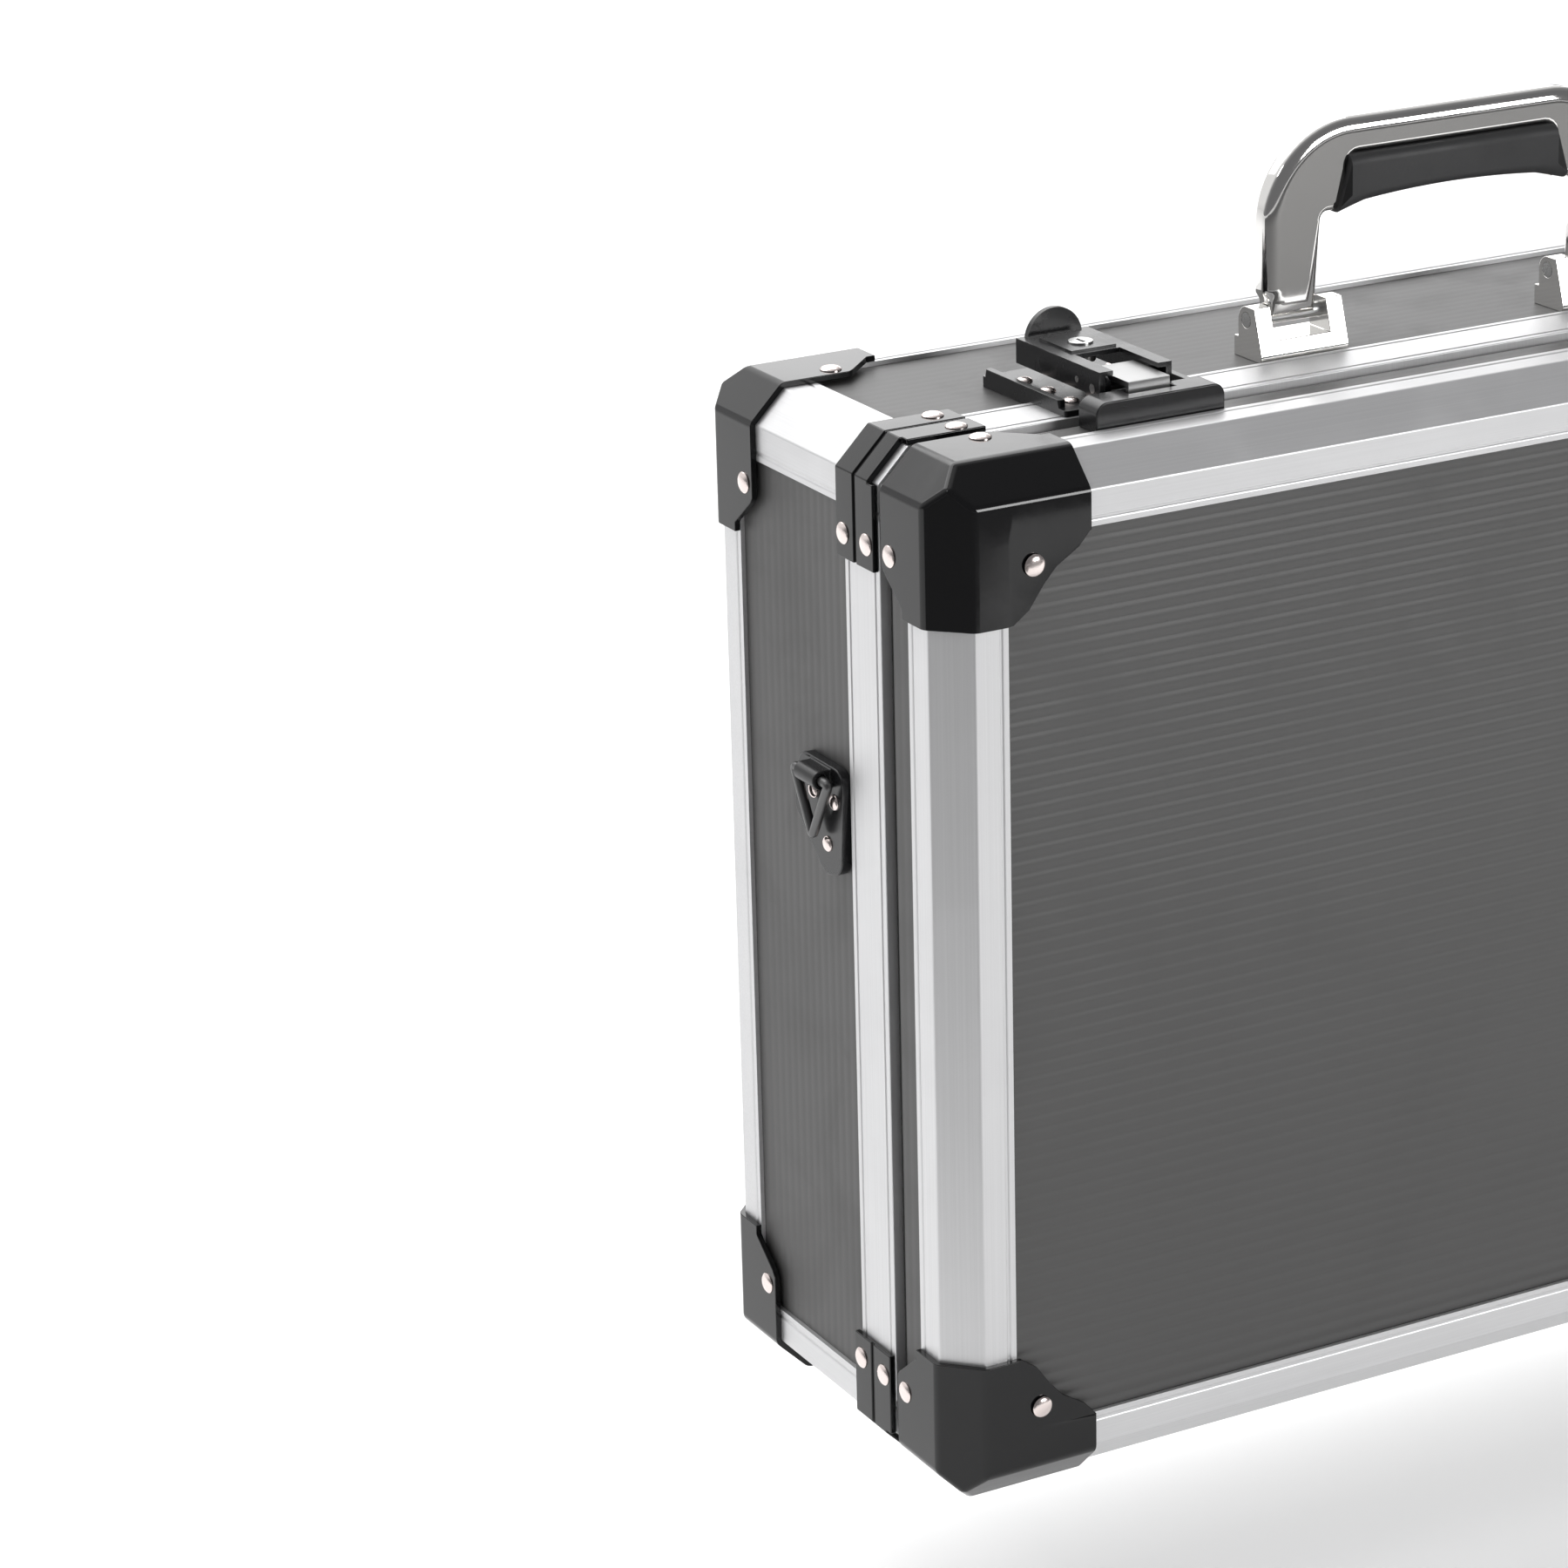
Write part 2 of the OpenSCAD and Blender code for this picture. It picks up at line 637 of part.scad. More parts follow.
// Rounded plate with a clip that a ring's bar turns in
module strap_plate(s) {
    clip_r = 3.1;
    axis_x = strap_t + ring_out;
    color([0.1, 0.1, 0.1]) translate([s * half_w, 0, 0]) mirror([s < 0 ? 1 : 0, 0, 0]) difference() {
        union() {
            translate([-edge_t, 0, 0]) rotate([90, 0, 90]) linear_extrude(edge_t + strap_t) hull() {
                for (at = [[67.5, 225], [85.5, 225], [88, 213], [69.5, 201], [73, 200]])
                    translate([from_front(at[0]), at[1]]) circle(6);
            }
            translate([0, from_front(ring_y) - clip_half, ring_z]) rotate([-90, 0, 0])
                translate([axis_x, 0, 0]) cylinder(h = 2 * clip_half, r = clip_r);
            span([strap_t - eps, from_front(ring_y) - clip_half, ring_z - clip_r],
                 [axis_x, from_front(ring_y) + clip_half, ring_z + clip_r]);
        }
        translate([axis_x, from_front(ring_y) - clip_half - 1, ring_z]) rotate([-90, 0, 0])
            cylinder(h = 2 * clip_half + 2, r = ring_r + run_gap);
    }
}

// Triangle with round corners, seen from the side, with its bar at the origin
module ring_outline(r) {
    hull() for (at = [[-ring_w / 2, 0], [ring_w / 2, 0], [0, -ring_drop]]) translate(at) circle(r, $fn = 32);
}

// Space inside the ring: the same triangle, one wire radius in from its centre line
module ring_inside() {
    limb = norm([ring_w / 2, ring_drop]);
    low = ring_drop - ring_r * limb / (ring_w / 2);
    half = (low - ring_r) * (ring_w / 2) / ring_drop;
    polygon([[-half, -ring_r], [half, -ring_r], [0, -low]]);
}

// Triangular ring that hangs from its bar, which is round where it turns in the clip
module strap_ring(s) {
    bar = clip_half + 1.2;
    color("dimgray") translate([s * (half_w + strap_t + ring_out), from_front(ring_y), ring_z]) {
        difference() {
            translate([-ring_r, 0, 0]) rotate([90, 0, 90]) linear_extrude(2 * ring_r) difference() {
                ring_outline(ring_r);
                ring_inside();
            }
            span([-ring_r - 1, -bar, -ring_r - 0.5], [ring_r + 1, bar, ring_r + 0.5]);
        }
        translate([0, -bar - eps, 0]) rotate([-90, 0, 0]) cylinder(h = 2 * (bar + eps), r = ring_r);
    }
}

// ---------- every sub-part ----------

face_panel(from_front(edge_t));  // lid_front_panel
level_wall(1, inset, lid_d);  // lid_wall_top
level_wall(-1, inset, lid_d);  // lid_wall_bottom
side_wall(-1, inset, lid_d);  // lid_wall_left
side_wall(1, inset, lid_d);  // lid_wall_right
width_profile(-1, 1);  // lid_profile_top
width_profile(-1, -1);  // lid_profile_bottom
height_profile(-1, -1);  // lid_profile_left
height_profile(1, -1);  // lid_profile_right
depth_profiles(edge_w, rim_y - 1.4);  // lid_edge_profiles
corner_guard(-1, -1, 1);  // lid_corner_top_left
corner_guard(1, -1, 1);  // lid_corner_top_right
corner_guard(-1, -1, -1);  // lid_corner_bottom_left
corner_guard(1, -1, -1);  // lid_corner_bottom_right
lid_seal();
lid_lining();
lid_rivets();
lid_hinge_leaf();
catch(-1);  // catch_left
catch(1);  // catch_right
face_panel(half_d - wall_in);  // back_panel
level_wall(1, rim_y + edge_t, case_d - inset);  // base_wall_top
level_wall(-1, rim_y + edge_t, case_d - inset);  // base_wall_bottom
side_wall(-1, rim_y + edge_t, case_d - inset);  // base_wall_left
side_wall(1, rim_y + edge_t, case_d - inset);  // base_wall_right
rim_strips();
back_profiles();
depth_profiles(rim_y, case_d - edge_w);  // base_edge_profiles
corner_guard(-1, 1, 1);  // back_corner_top_left
corner_guard(1, 1, 1);  // back_corner_top_right
corner_guard(-1, 1, -1);  // back_corner_bottom_left
corner_guard(1, 1, -1);  // back_corner_bottom_right
rim_corner(-1, 1);  // rim_corner_top_left
rim_corner(1, 1);  // rim_corner_top_right
rim_corner(-1, -1);  // rim_corner_bottom_left
rim_corner(1, -1);  // rim_corner_bottom_right
base_lining();
base_rivets();
base_hinge_leaf();
hinge_pin();
latch_plate(-1);  // latch_plate_left
latch_plate(1);  // latch_plate_right
latch_pins();
handle_bracket(-1);  // handle_bracket_left
handle_bracket(1);  // handle_bracket_right
handle_pins();
strap_plate(-1);  // strap_plate_left
strap_plate(1);  // strap_plate_right
handle_frame();
handle_grip();
lever(-1);  // lever_left
lever(1);  // lever_right
hook_pin(-1);  // hook_pin_left
hook_pin(1);  // hook_pin_right
hook(-1);  // hook_left
hook(1);  // hook_right
lock(-1);  // lock_left
lock(1);  // lock_right
strap_ring(-1);  // strap_ring_left
strap_ring(1);  // strap_ring_right
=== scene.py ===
# %% [markdown]
# # A hard attache case
# The case is a shallow box of ribbed sheet held in aluminium edges, with glossy black guards on its
# corners. The CAD model already has every solid in its place and at its true size. This lesson gives
# those solids the roundings, ribs and finishes that a camera sees, and never moves any of them.

# %% Load the frame
import json
import math
import bmesh
import bpy
from mathutils import Matrix, Vector


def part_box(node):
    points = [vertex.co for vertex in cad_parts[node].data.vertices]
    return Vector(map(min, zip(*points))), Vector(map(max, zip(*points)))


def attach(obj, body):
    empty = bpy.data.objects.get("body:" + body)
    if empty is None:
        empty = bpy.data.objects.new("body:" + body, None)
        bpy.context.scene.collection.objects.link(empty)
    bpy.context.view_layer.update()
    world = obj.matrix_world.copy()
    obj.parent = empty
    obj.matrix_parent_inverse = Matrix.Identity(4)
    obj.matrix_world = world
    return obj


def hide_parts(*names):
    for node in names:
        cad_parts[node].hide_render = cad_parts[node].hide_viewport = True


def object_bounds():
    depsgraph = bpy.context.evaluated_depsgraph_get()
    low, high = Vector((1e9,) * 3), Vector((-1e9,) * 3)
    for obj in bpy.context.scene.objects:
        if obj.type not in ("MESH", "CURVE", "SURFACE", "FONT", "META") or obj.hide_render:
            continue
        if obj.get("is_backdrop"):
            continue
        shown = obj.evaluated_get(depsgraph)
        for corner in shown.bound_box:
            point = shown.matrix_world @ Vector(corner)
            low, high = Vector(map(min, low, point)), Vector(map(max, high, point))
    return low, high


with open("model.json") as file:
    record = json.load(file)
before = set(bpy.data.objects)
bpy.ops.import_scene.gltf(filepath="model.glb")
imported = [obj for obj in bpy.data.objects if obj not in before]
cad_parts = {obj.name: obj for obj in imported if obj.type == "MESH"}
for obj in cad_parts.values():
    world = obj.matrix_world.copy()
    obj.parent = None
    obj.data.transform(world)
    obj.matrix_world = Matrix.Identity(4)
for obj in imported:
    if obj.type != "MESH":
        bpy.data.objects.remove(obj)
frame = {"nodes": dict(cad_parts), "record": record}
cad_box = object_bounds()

scene = bpy.context.scene

# %% [markdown]
# ## The camera
# It stands a little above the case and well to its left, so that the lid, the left side and the top
# all show. A long lens from far off keeps the edges nearly parallel. The camera is turned by its
# three angles in one matrix, which is easier to read than three chained rotations.

# %% Set up the camera
def turned(azimuth, elevation, roll):
    """Rotation of a camera that looks down at the case, in degrees"""
    return (Matrix.Rotation(math.radians(azimuth), 4, "Z")
            @ Matrix.Rotation(math.radians(90 - elevation), 4, "X")
            @ Matrix.Rotation(math.radians(roll), 4, "Z"))


camera = bpy.data.objects.new("camera", bpy.data.cameras.new("camera"))
scene.collection.objects.link(camera)
camera.matrix_world = Matrix.Translation((-0.9174, -1.2920, 0.7505)) @ turned(-27.559, 19.798, -1.583)
camera.data.lens = 114.14
camera.data.sensor_width = 36
camera.data.clip_start, camera.data.clip_end = 0.05, 50
scene.camera = camera
print("camera stands", round(camera.location.length, 3), "m from the case's foot")

# %% [markdown]
# ## Floor and light
# Chrome and gloss are nothing but reflections, so the room matters as much as the materials. The
# floor is a pale light table: it glows a little, which keeps it white without hard shadows. It lies
# a hand's width under the case, so that the lid, whose hinge is at the bottom, can be shown open. It
# lights the case from below and a wide light behind it from above. The world is bright up at
# the back and dark in front, which draws the dark bands that make chrome look like chrome.

# %% Lay the floor
FLOOR_Z = -0.07
FLOOR_SIZE = 12
floor_bm = bmesh.new()
bmesh.ops.create_grid(floor_bm, x_segments=1, y_segments=1, size=FLOOR_SIZE)
bmesh.ops.translate(floor_bm, verts=floor_bm.verts, vec=(0, 0, FLOOR_Z))
floor_mesh = bpy.data.meshes.new("floor")
floor_bm.to_mesh(floor_mesh)
floor_bm.free()
floor = bpy.data.objects.new("floor", floor_mesh)
scene.collection.objects.link(floor)
floor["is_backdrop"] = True
floor_paint = bpy.data.materials.new("floor paint")
floor_paint.use_nodes = True
paint_inputs = floor_paint.node_tree.nodes["Principled BSDF"].inputs
for label, value in {"Base Color": (0.92, 0.92, 0.92, 1), "Roughness": 0.9, "Specular IOR Level": 0.1,
                     "Emission Color": (1, 1, 1, 1), "Emission Strength": 0.26}.items():
    paint_inputs[label].default_value = value
floor_mesh.materials.append(floor_paint)
print("floor is", floor.dimensions.x, "m wide")


# %% Hang the lights
def soft_box(name, place, target, width, height, watts):
    """Rectangular light that faces a point"""
    light = bpy.data.lights.new(name, "AREA")
    light.shape = "RECTANGLE"
    light.size, light.size_y, light.energy = width, height, watts
    lamp = bpy.data.objects.new(name, light)
    scene.collection.objects.link(lamp)
    aim = Vector(target) - Vector(place)
    lamp.matrix_world = Matrix.Translation(place) @ aim.to_track_quat("-Z", "Y").to_matrix().to_4x4()
    lamp.visible_camera = False
    return lamp


lamps = [
    soft_box("back ceiling light", (-0.1, 1.5, 2.3), (0, 0.1, 0.2), 3.0, 1.8, 38),
    soft_box("front light", (1.15, -2.4, 1.0), (0, 0, 0.25), 1.2, 0.7, 30),
    soft_box("left light", (-2.0, -0.6, 2.1), (0, 0, 0.2), 0.5, 0.5, 4),
    soft_box("back light", (1.7, 3.0, 1.2), (0, 0, 0.34), 2.6, 1.0, 12),
    soft_box("far floor light", (0.0, 5.5, 3.2), (0, 5.5, 0), 7.0, 4.0, 60),
]
print("lamps:", [lamp.name for lamp in lamps])

# %% [markdown]
# Two dark cloths on the floor, in front of the set and to its left, are painted dark reflections: they put
# the dark tones into gloss and chrome, and nothing else in the scene sees them.

# %% Lay the dark cloths
CLOTH_LIFT = 0.004
# Dark paint for the cloths, which only glossy rays see: a painted dark reflection in gloss and chrome, not
# the colour of anything the camera shows.
dark_reflection_paint = bpy.data.materials.new("dark reflection paint")
dark_reflection_paint.use_nodes = True
dark_reflection_paint.node_tree.nodes["Principled BSDF"].inputs["Base Color"].default_value = (0.20, 0.20, 0.20, 1)
dark_reflection_paint.node_tree.nodes["Principled BSDF"].inputs["Specular IOR Level"].default_value = 0.0


def lay_cloth(name, left, right, near, far):
    """Dark rectangle just above the floor that only reflections see"""
    bm = bmesh.new()
    bmesh.ops.create_grid(bm, x_segments=1, y_segments=1, size=0.5)
    bmesh.ops.scale(bm, verts=bm.verts, vec=(right - left, near - far, 1))
    bmesh.ops.translate(bm, verts=bm.verts,
                        vec=((left + right) / 2, (near + far) / 2, FLOOR_Z + CLOTH_LIFT))
    mesh = bpy.data.meshes.new(name)
    bm.to_mesh(mesh)
    bm.free()
    mesh.materials.append(dark_reflection_paint)
    cloth = bpy.data.objects.new(name, mesh)
    scene.collection.objects.link(cloth)
    for kind in ("camera", "diffuse", "transmission", "volume_scatter", "shadow"):
        setattr(cloth, "visible_" + kind, False)
    cloth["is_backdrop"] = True
    return cloth


cloths = [
    lay_cloth("front cloth", -0.40, 6.0, -1.10, -6.0),
    lay_cloth("left cloth", -6.0, -0.40, -0.25, -6.0),
]
print("cloths:", [tuple(round(v, 2) for v in cloth.dimensions) for cloth in cloths])

# %% Paint the world
world = bpy.data.worlds.new("studio")
scene.world = world
world.use_nodes = True
world_nodes, world_links = world.node_tree.nodes, world.node_tree.links
world_nodes.clear()
direction = world_nodes.new("ShaderNodeTexCoord")
uplit = world_nodes.new("ShaderNodeVectorMath")
uplit.operation = "DOT_PRODUCT"
uplit.inputs[1].default_value = (-0.15, 0.62, 0.62)
ramp = world_nodes.new("ShaderNodeValToRGB")
room = world_nodes.new("ShaderNodeBackground")
backdrop = world_nodes.new("ShaderNodeBackground")
light_path = world_nodes.new("ShaderNodeLightPath")
choose = world_nodes.new("ShaderNodeMixShader")
world_out = world_nodes.new("ShaderNodeOutputWorld")
dark, bright = ramp.color_ramp.elements
dark.position, dark.color = 0.02, (0.16, 0.16, 0.165, 1)
bright.position, bright.color = 0.62, (0.86, 0.86, 0.865, 1)
middle = ramp.color_ramp.elements.new(0.34)
middle.color = (0.24, 0.24, 0.245, 1)
backdrop.inputs["Color"].default_value = (1.0, 1.0, 1.0, 1)
world_links.new(direction.outputs["Generated"], uplit.inputs[0])
world_links.new(uplit.outputs["Value"], ramp.inputs["Fac"])
world_links.new(ramp.outputs["Color"], room.inputs["Color"])
world_links.new(light_path.outputs["Is Camera Ray"], choose.inputs["Fac"])
world_links.new(room.outputs["Background"], choose.inputs[1])
world_links.new(backdrop.outputs["Background"], choose.inputs[2])
world_links.new(choose.outputs["Shader"], world_out.inputs["Surface"])
scene.view_settings.view_transform = "Standard"
print("world steps:", len(ramp.color_ramp.elements))

# %% [markdown]
# ## Shared effects
# Real surfaces are never even: hands leave dull smudges, extruded metal has fine lines, moulded
# plastic has grain, and rubbed edges go bright. Each effect is one node group with its own inputs,
# so every material can use it at its own strength.


# %% Node helpers
def new_group(name, inputs, outputs):
    """Empty shader group; inputs are (label, value), outputs are labels, and a tuple value makes a vector"""
    group = bpy.data.node_groups.new(name, "ShaderNodeTree")
    for label, value in inputs:
        kind = "NodeSocketVector" if isinstance(value, tuple) else "NodeSocketFloat"
        group.interface.new_socket(name=label, in_out="INPUT", socket_type=kind).default_value = value
    for label in outputs:
        group.interface.new_socket(name=label, in_out="OUTPUT", socket_type="NodeSocketFloat")
    return group, group.nodes.new("NodeGroupInput"), group.nodes.new("NodeGroupOutput")


def put(tree, kind, links=(), values=(), **settings):
    """Node with its settings, its linked inputs and its fixed inputs"""
    made = tree.nodes.new(kind)
    for key, value in settings.items():
        setattr(made, key, value)
    for socket, value in dict(values).items():
        made.inputs[socket].default_value = value
    for socket, source in dict(links).items():
        tree.links.new(source, made.inputs[socket])
    return made


# %% Build the effects
smudge, ins, outs = new_group("Handling marks", [("Size", 22.0), ("Strength", 1.0)], ["Mask"])
where = put(smudge, "ShaderNodeTexCoord")
clouds = put(smudge, "ShaderNodeTexNoise", {"Vector": where.outputs["Object"], "Scale": ins.outputs["Size"]},
             {"Detail": 6.0, "Roughness": 0.62, "Distortion": 0.6})
shaped = put(smudge, "ShaderNodeMapRange", {0: clouds.outputs["Fac"]}, {1: 0.47, 2: 0.72})
scaled = put(smudge, "ShaderNodeMath", {0: shaped.outputs[0], 1: ins.outputs["Strength"]},
             operation="MULTIPLY")
smudge.links.new(scaled.outputs[0], outs.inputs["Mask"])

grain, ins, outs = new_group("Moulded grain", [("Size", 1400.0)], ["Height"])
where = put(grain, "ShaderNodeTexCoord")
cells = put(grain, "ShaderNodeTexVoronoi", {"Vector": where.outputs["Object"], "Scale": ins.outputs["Size"]},
            feature="SMOOTH_F1")
dust = put(grain, "ShaderNodeTexNoise", {"Vector": where.outputs["Object"], "Scale": ins.outputs["Size"]},
           {"Detail": 3.0})
both = put(grain, "ShaderNodeMath", {0: cells.outputs["Distance"], 1: dust.outputs["Fac"]}, operation="ADD")
grain.links.new(both.outputs[0], outs.inputs["Height"])

lines, ins, outs = new_group("Drawn lines", [("Stretch", (30.0, 2500.0, 2500.0))], ["Height"])
where = put(lines, "ShaderNodeTexCoord")
pulled = put(lines, "ShaderNodeVectorMath", {0: where.outputs["Object"], 1: ins.outputs["Stretch"]},
             operation="MULTIPLY")
streaks = put(lines, "ShaderNodeTexNoise", {"Vector": pulled.outputs[0]}, {"Scale": 1.0, "Detail": 3.0})
lines.links.new(streaks.outputs["Fac"], outs.inputs["Height"])

worn, ins, outs = new_group("Rubbed edges", [("Reach", 0.0007), ("Breakup", 160.0)], ["Mask"])
inward = put(worn, "ShaderNodeBevel", {"Radius": ins.outputs["Reach"]}, samples=4)
normal = put(worn, "ShaderNodeNewGeometry")
alike = put(worn, "ShaderNodeVectorMath", {0: inward.outputs[0], 1: normal.outputs["Normal"]},
            operation="DOT_PRODUCT")
edge = put(worn, "ShaderNodeMapRange", {0: alike.outputs["Value"]}, {1: 0.985, 2: 0.90})
where = put(worn, "ShaderNodeTexCoord")
patches = put(worn, "ShaderNodeTexNoise",
              {"Vector": where.outputs["Object"], "Scale": ins.outputs["Breakup"]}, {"Detail": 4.0})
kept = put(worn, "ShaderNodeMapRange", {0: patches.outputs["Fac"]}, {1: 0.45, 2: 0.62})
rubbed = put(worn, "ShaderNodeMath", {0: edge.outputs[0], 1: kept.outputs[0]}, operation="MULTIPLY")
worn.links.new(rubbed.outputs[0], outs.inputs["Mask"])
print("effects:", [g.name for g in (smudge, grain, lines, worn)])

# %% [markdown]
# ## Finishes
# One maker builds every finish from the same parts: a colour that drifts a little between two
# tones, a roughness raised by handling marks, and a bump from grain or from drawn lines. Each
# finish then differs only in its numbers, which keeps the whole case consistent.


# %% The finish maker
def finish(name, tones, roughness, marks=0.12, metal=0.0, grained=None, drawn=None, bump=0.1,
           rubbed_tone=None, **fixed):
    """Material; it drifts between two tones, and marks add dullness to its clean roughness"""
    material = bpy.data.materials.new(name)
    material.use_nodes = True
    tree = material.node_tree
    shader = tree.nodes["Principled BSDF"]
    shader.inputs["Metallic"].default_value = metal
    for label, value in fixed.items():
        shader.inputs[label.replace("_", " ")].default_value = value
    smudged = put(tree, "ShaderNodeGroup", node_tree=smudge)
    height = None
    if drawn:
        height = put(tree, "ShaderNodeGroup", node_tree=lines)
        height.inputs["Stretch"].default_value = drawn
        source = height.outputs["Height"]
    else:
        where = put(tree, "ShaderNodeTexCoord")
        drift = put(tree, "ShaderNodeTexNoise", {"Vector": where.outputs["Object"]},
                    {"Scale": 9.0, "Detail": 3.0})
        source = drift.outputs["Fac"]
    if grained:
        height = put(tree, "ShaderNodeGroup", node_tree=grain)
        height.inputs["Size"].default_value = grained
    tone = put(tree, "ShaderNodeMix", {0: source}, data_type="RGBA")
    tone.inputs[6].default_value, tone.inputs[7].default_value = (*tones[0], 1), (*tones[1], 1)
    colour = tone.outputs[2]
    if rubbed_tone:
        bare = put(tree, "ShaderNodeGroup", node_tree=worn)
        over = put(tree, "ShaderNodeMix", {0: bare.outputs["Mask"], 6: colour}, data_type="RGBA")
        over.inputs[7].default_value = (*rubbed_tone, 1)
        colour = over.outputs[2]
    tree.links.new(colour, shader.inputs["Base Color"])
    dulled = put(tree, "ShaderNodeMath", {0: smudged.outputs["Mask"]}, {1: marks, 2: roughness},
                 operation="MULTIPLY_ADD")
    tree.links.new(dulled.outputs[0], shader.inputs["Roughness"])
    if height:
        raised = put(tree, "ShaderNodeBump", {"Height": height.outputs["Height"]},
                     {"Strength": bump, "Distance": 0.0002})
        tree.links.new(raised.outputs[0], shader.inputs["Normal"])
    return material


# %% Mix the finishes
DRAWN_ALONG = {"X": (6.0, 1500.0, 1500.0), "Y": (1500.0, 6.0, 1500.0), "Z": (1500.0, 1500.0, 6.0)}
aluminium = {
    axis: finish(f"aluminium drawn along {axis}", ((0.64, 0.64, 0.645), (0.74, 0.74, 0.745)), 0.43, 0.08,
                 0.78, drawn=stretch, bump=0.12)
    for axis, stretch in DRAWN_ALONG.items()
}
sheet_grey = finish("ribbed sheet", ((0.068, 0.067, 0.066), (0.080, 0.079, 0.078)), 0.44, 0.10,
                    grained=900.0, bump=0.05)
guard_black = finish("moulded guard", ((0.0035, 0.0035, 0.004), (0.0055, 0.0055, 0.006)), 0.09, 0.14,
                     grained=500.0, bump=0.01, rubbed_tone=(0.02, 0.02, 0.02), Specular_IOR_Level=0.42)
nickel = finish("rivet nickel", ((0.80, 0.70, 0.67), (0.88, 0.79, 0.76)), 0.20, 0.12, 1.0,
                grained=1600.0, bump=0.03)
chrome = finish("handle chrome", ((0.80, 0.79, 0.77), (0.84, 0.83, 0.81)), 0.05, 0.10, 1.0)
grip_rubber = finish("grip rubber", ((0.020, 0.020, 0.021), (0.030, 0.030, 0.031)), 0.50, 0.15,
                     grained=1100.0, bump=0.12)
latch_enamel = finish("latch enamel", ((0.008, 0.008, 0.009), (0.013, 0.013, 0.014)), 0.24, 0.18,
                      grained=600.0, bump=0.02, rubbed_tone=(0.10, 0.10, 0.10))
ring_plate = finish("ring plating", ((0.11, 0.11, 0.11), (0.16, 0.16, 0.16)), 0.32, 0.15, 0.9,
                    grained=1500.0, bump=0.04)
pin_steel = finish("pin steel", ((0.50, 0.50, 0.50), (0.62, 0.62, 0.61)), 0.26, 0.15, 1.0,
                   drawn=(20.0, 1800.0, 1800.0), bump=0.08)
hook_steel = finish("hook plating", ((0.30, 0.30, 0.30), (0.38, 0.38, 0.38)), 0.30, 0.16, 1.0,
                    grained=1200.0, bump=0.03)
felt = finish("lining felt", ((0.050, 0.053, 0.058), (0.085, 0.088, 0.094)), 0.92, 0.05,
              grained=1700.0, bump=0.5, Sheen_Weight=0.35, Sheen_Roughness=0.5)
seal_rubber = finish("seal rubber", ((0.010, 0.010, 0.010), (0.016, 0.016, 0.016)), 0.65, 0.15,
                     grained=1000.0, bump=0.08)
print("finishes:", len(bpy.data.materials) - 1)

# %% [markdown]
# ## How a piece is handed over
# Every piece is built in a bmesh, turned into an object at the origin, shaded smooth and tied to
# the body that carries it. Long flat faces must stay flat beside their rounded edges, so a
# Weighted Normal modifier lets the big faces decide the shading.

# %% Hand over a piece
total_faces = 0
SHARP_FROM = math.radians(38)


def hand_over(name, bm, node, material):
    """Object from a bmesh, in the place of one CAD node or of several, riding where they ride"""
    global total_faces
    nodes = [node] if isinstance(node, str) else list(node)
    mesh = bpy.data.meshes.new(name)
    bm.to_mesh(mesh)
    bm.free()
    mesh.shade_smooth()
    mesh.set_sharp_from_angle(angle=SHARP_FROM)
    mesh.materials.append(material)
    piece = bpy.data.objects.new(name, mesh)
    scene.collection.objects.link(piece)
    piece.modifiers.new("flat faces", "WEIGHTED_NORMAL").keep_sharp = True
    body = next(b for b, members in frame["record"]["behaviour"]["bodies"].items() if nodes[0] in members)
    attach(piece, body)
    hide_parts(*nodes)
    open_edges = sum(1 for loops in edge_uses(mesh) if loops != 2)
    total_faces += len(mesh.polygons)
    print(f"{name}: {len(mesh.polygons)} faces, {open_edges} open edges, on {body}")
    return piece


def edge_uses(mesh):
    """How many faces meet at each edge of a mesh"""
    uses = [0] * len(mesh.edges)
    for loop in mesh.loops:
        uses[loop.edge_index] += 1
    return uses


# %% [markdown]
# ## Places on the case
# The case is symmetric, so one corner is enough to describe them all: a shape drawn at the left
# front bottom corner is mirrored to any of the eight. The sizes come from the CAD boxes, and a
# mirrored shape gets its normals worked out again once it is closed.

# %% Corners and sizes
MM = 0.001
panel_low, panel_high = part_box("back_profiles")
half_w, half_d = panel_high.x, panel_high.y
z_low, z_top = panel_low.z, panel_high.z
case_w, case_d, case_h = 2 * half_w, 2 * half_d, z_top - z_low
lid_low, lid_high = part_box("lid_edge_profiles")
rim_low, rim_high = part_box("rim_strips")
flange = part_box("lid_profile_top")[1].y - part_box("lid_profile_top")[0].y


def at_corner(side, face, level):
    """Carries what is drawn at the left front bottom corner to another corner; each sign is -1 or 1"""
    place = Matrix.Translation((side * half_w, face * half_d, z_low if level < 0 else z_top))
    return place @ Matrix.Diagonal((-side, -face, -level, 1))


print("case", round(case_w, 4), round(case_d, 4), round(case_h, 4), "flange", round(flange, 4))

# %% [markdown]
# ## Ribbed sheet
# The lid, the back and the walls are sheet with fine rounded ribs. A bump map would flatten at the
# rim and in a raking light, so the ribs are real: a grid with a few rows to each rib is waved, and
# then pushed back to the sheet's flat inner face, which closes it.

# %% Roll the sheets
RIB_ROWS = 8            # rows of faces to one rib
RIB_PITCH = 4.5 * MM
FACE_RIB, SIDE_RIB, END_RIB = 0.45 * MM, 0.07 * MM, 0.03 * MM   # depths
RIB_SWELL = 0.7         # under 1 makes the ribs broad and the valleys narrow


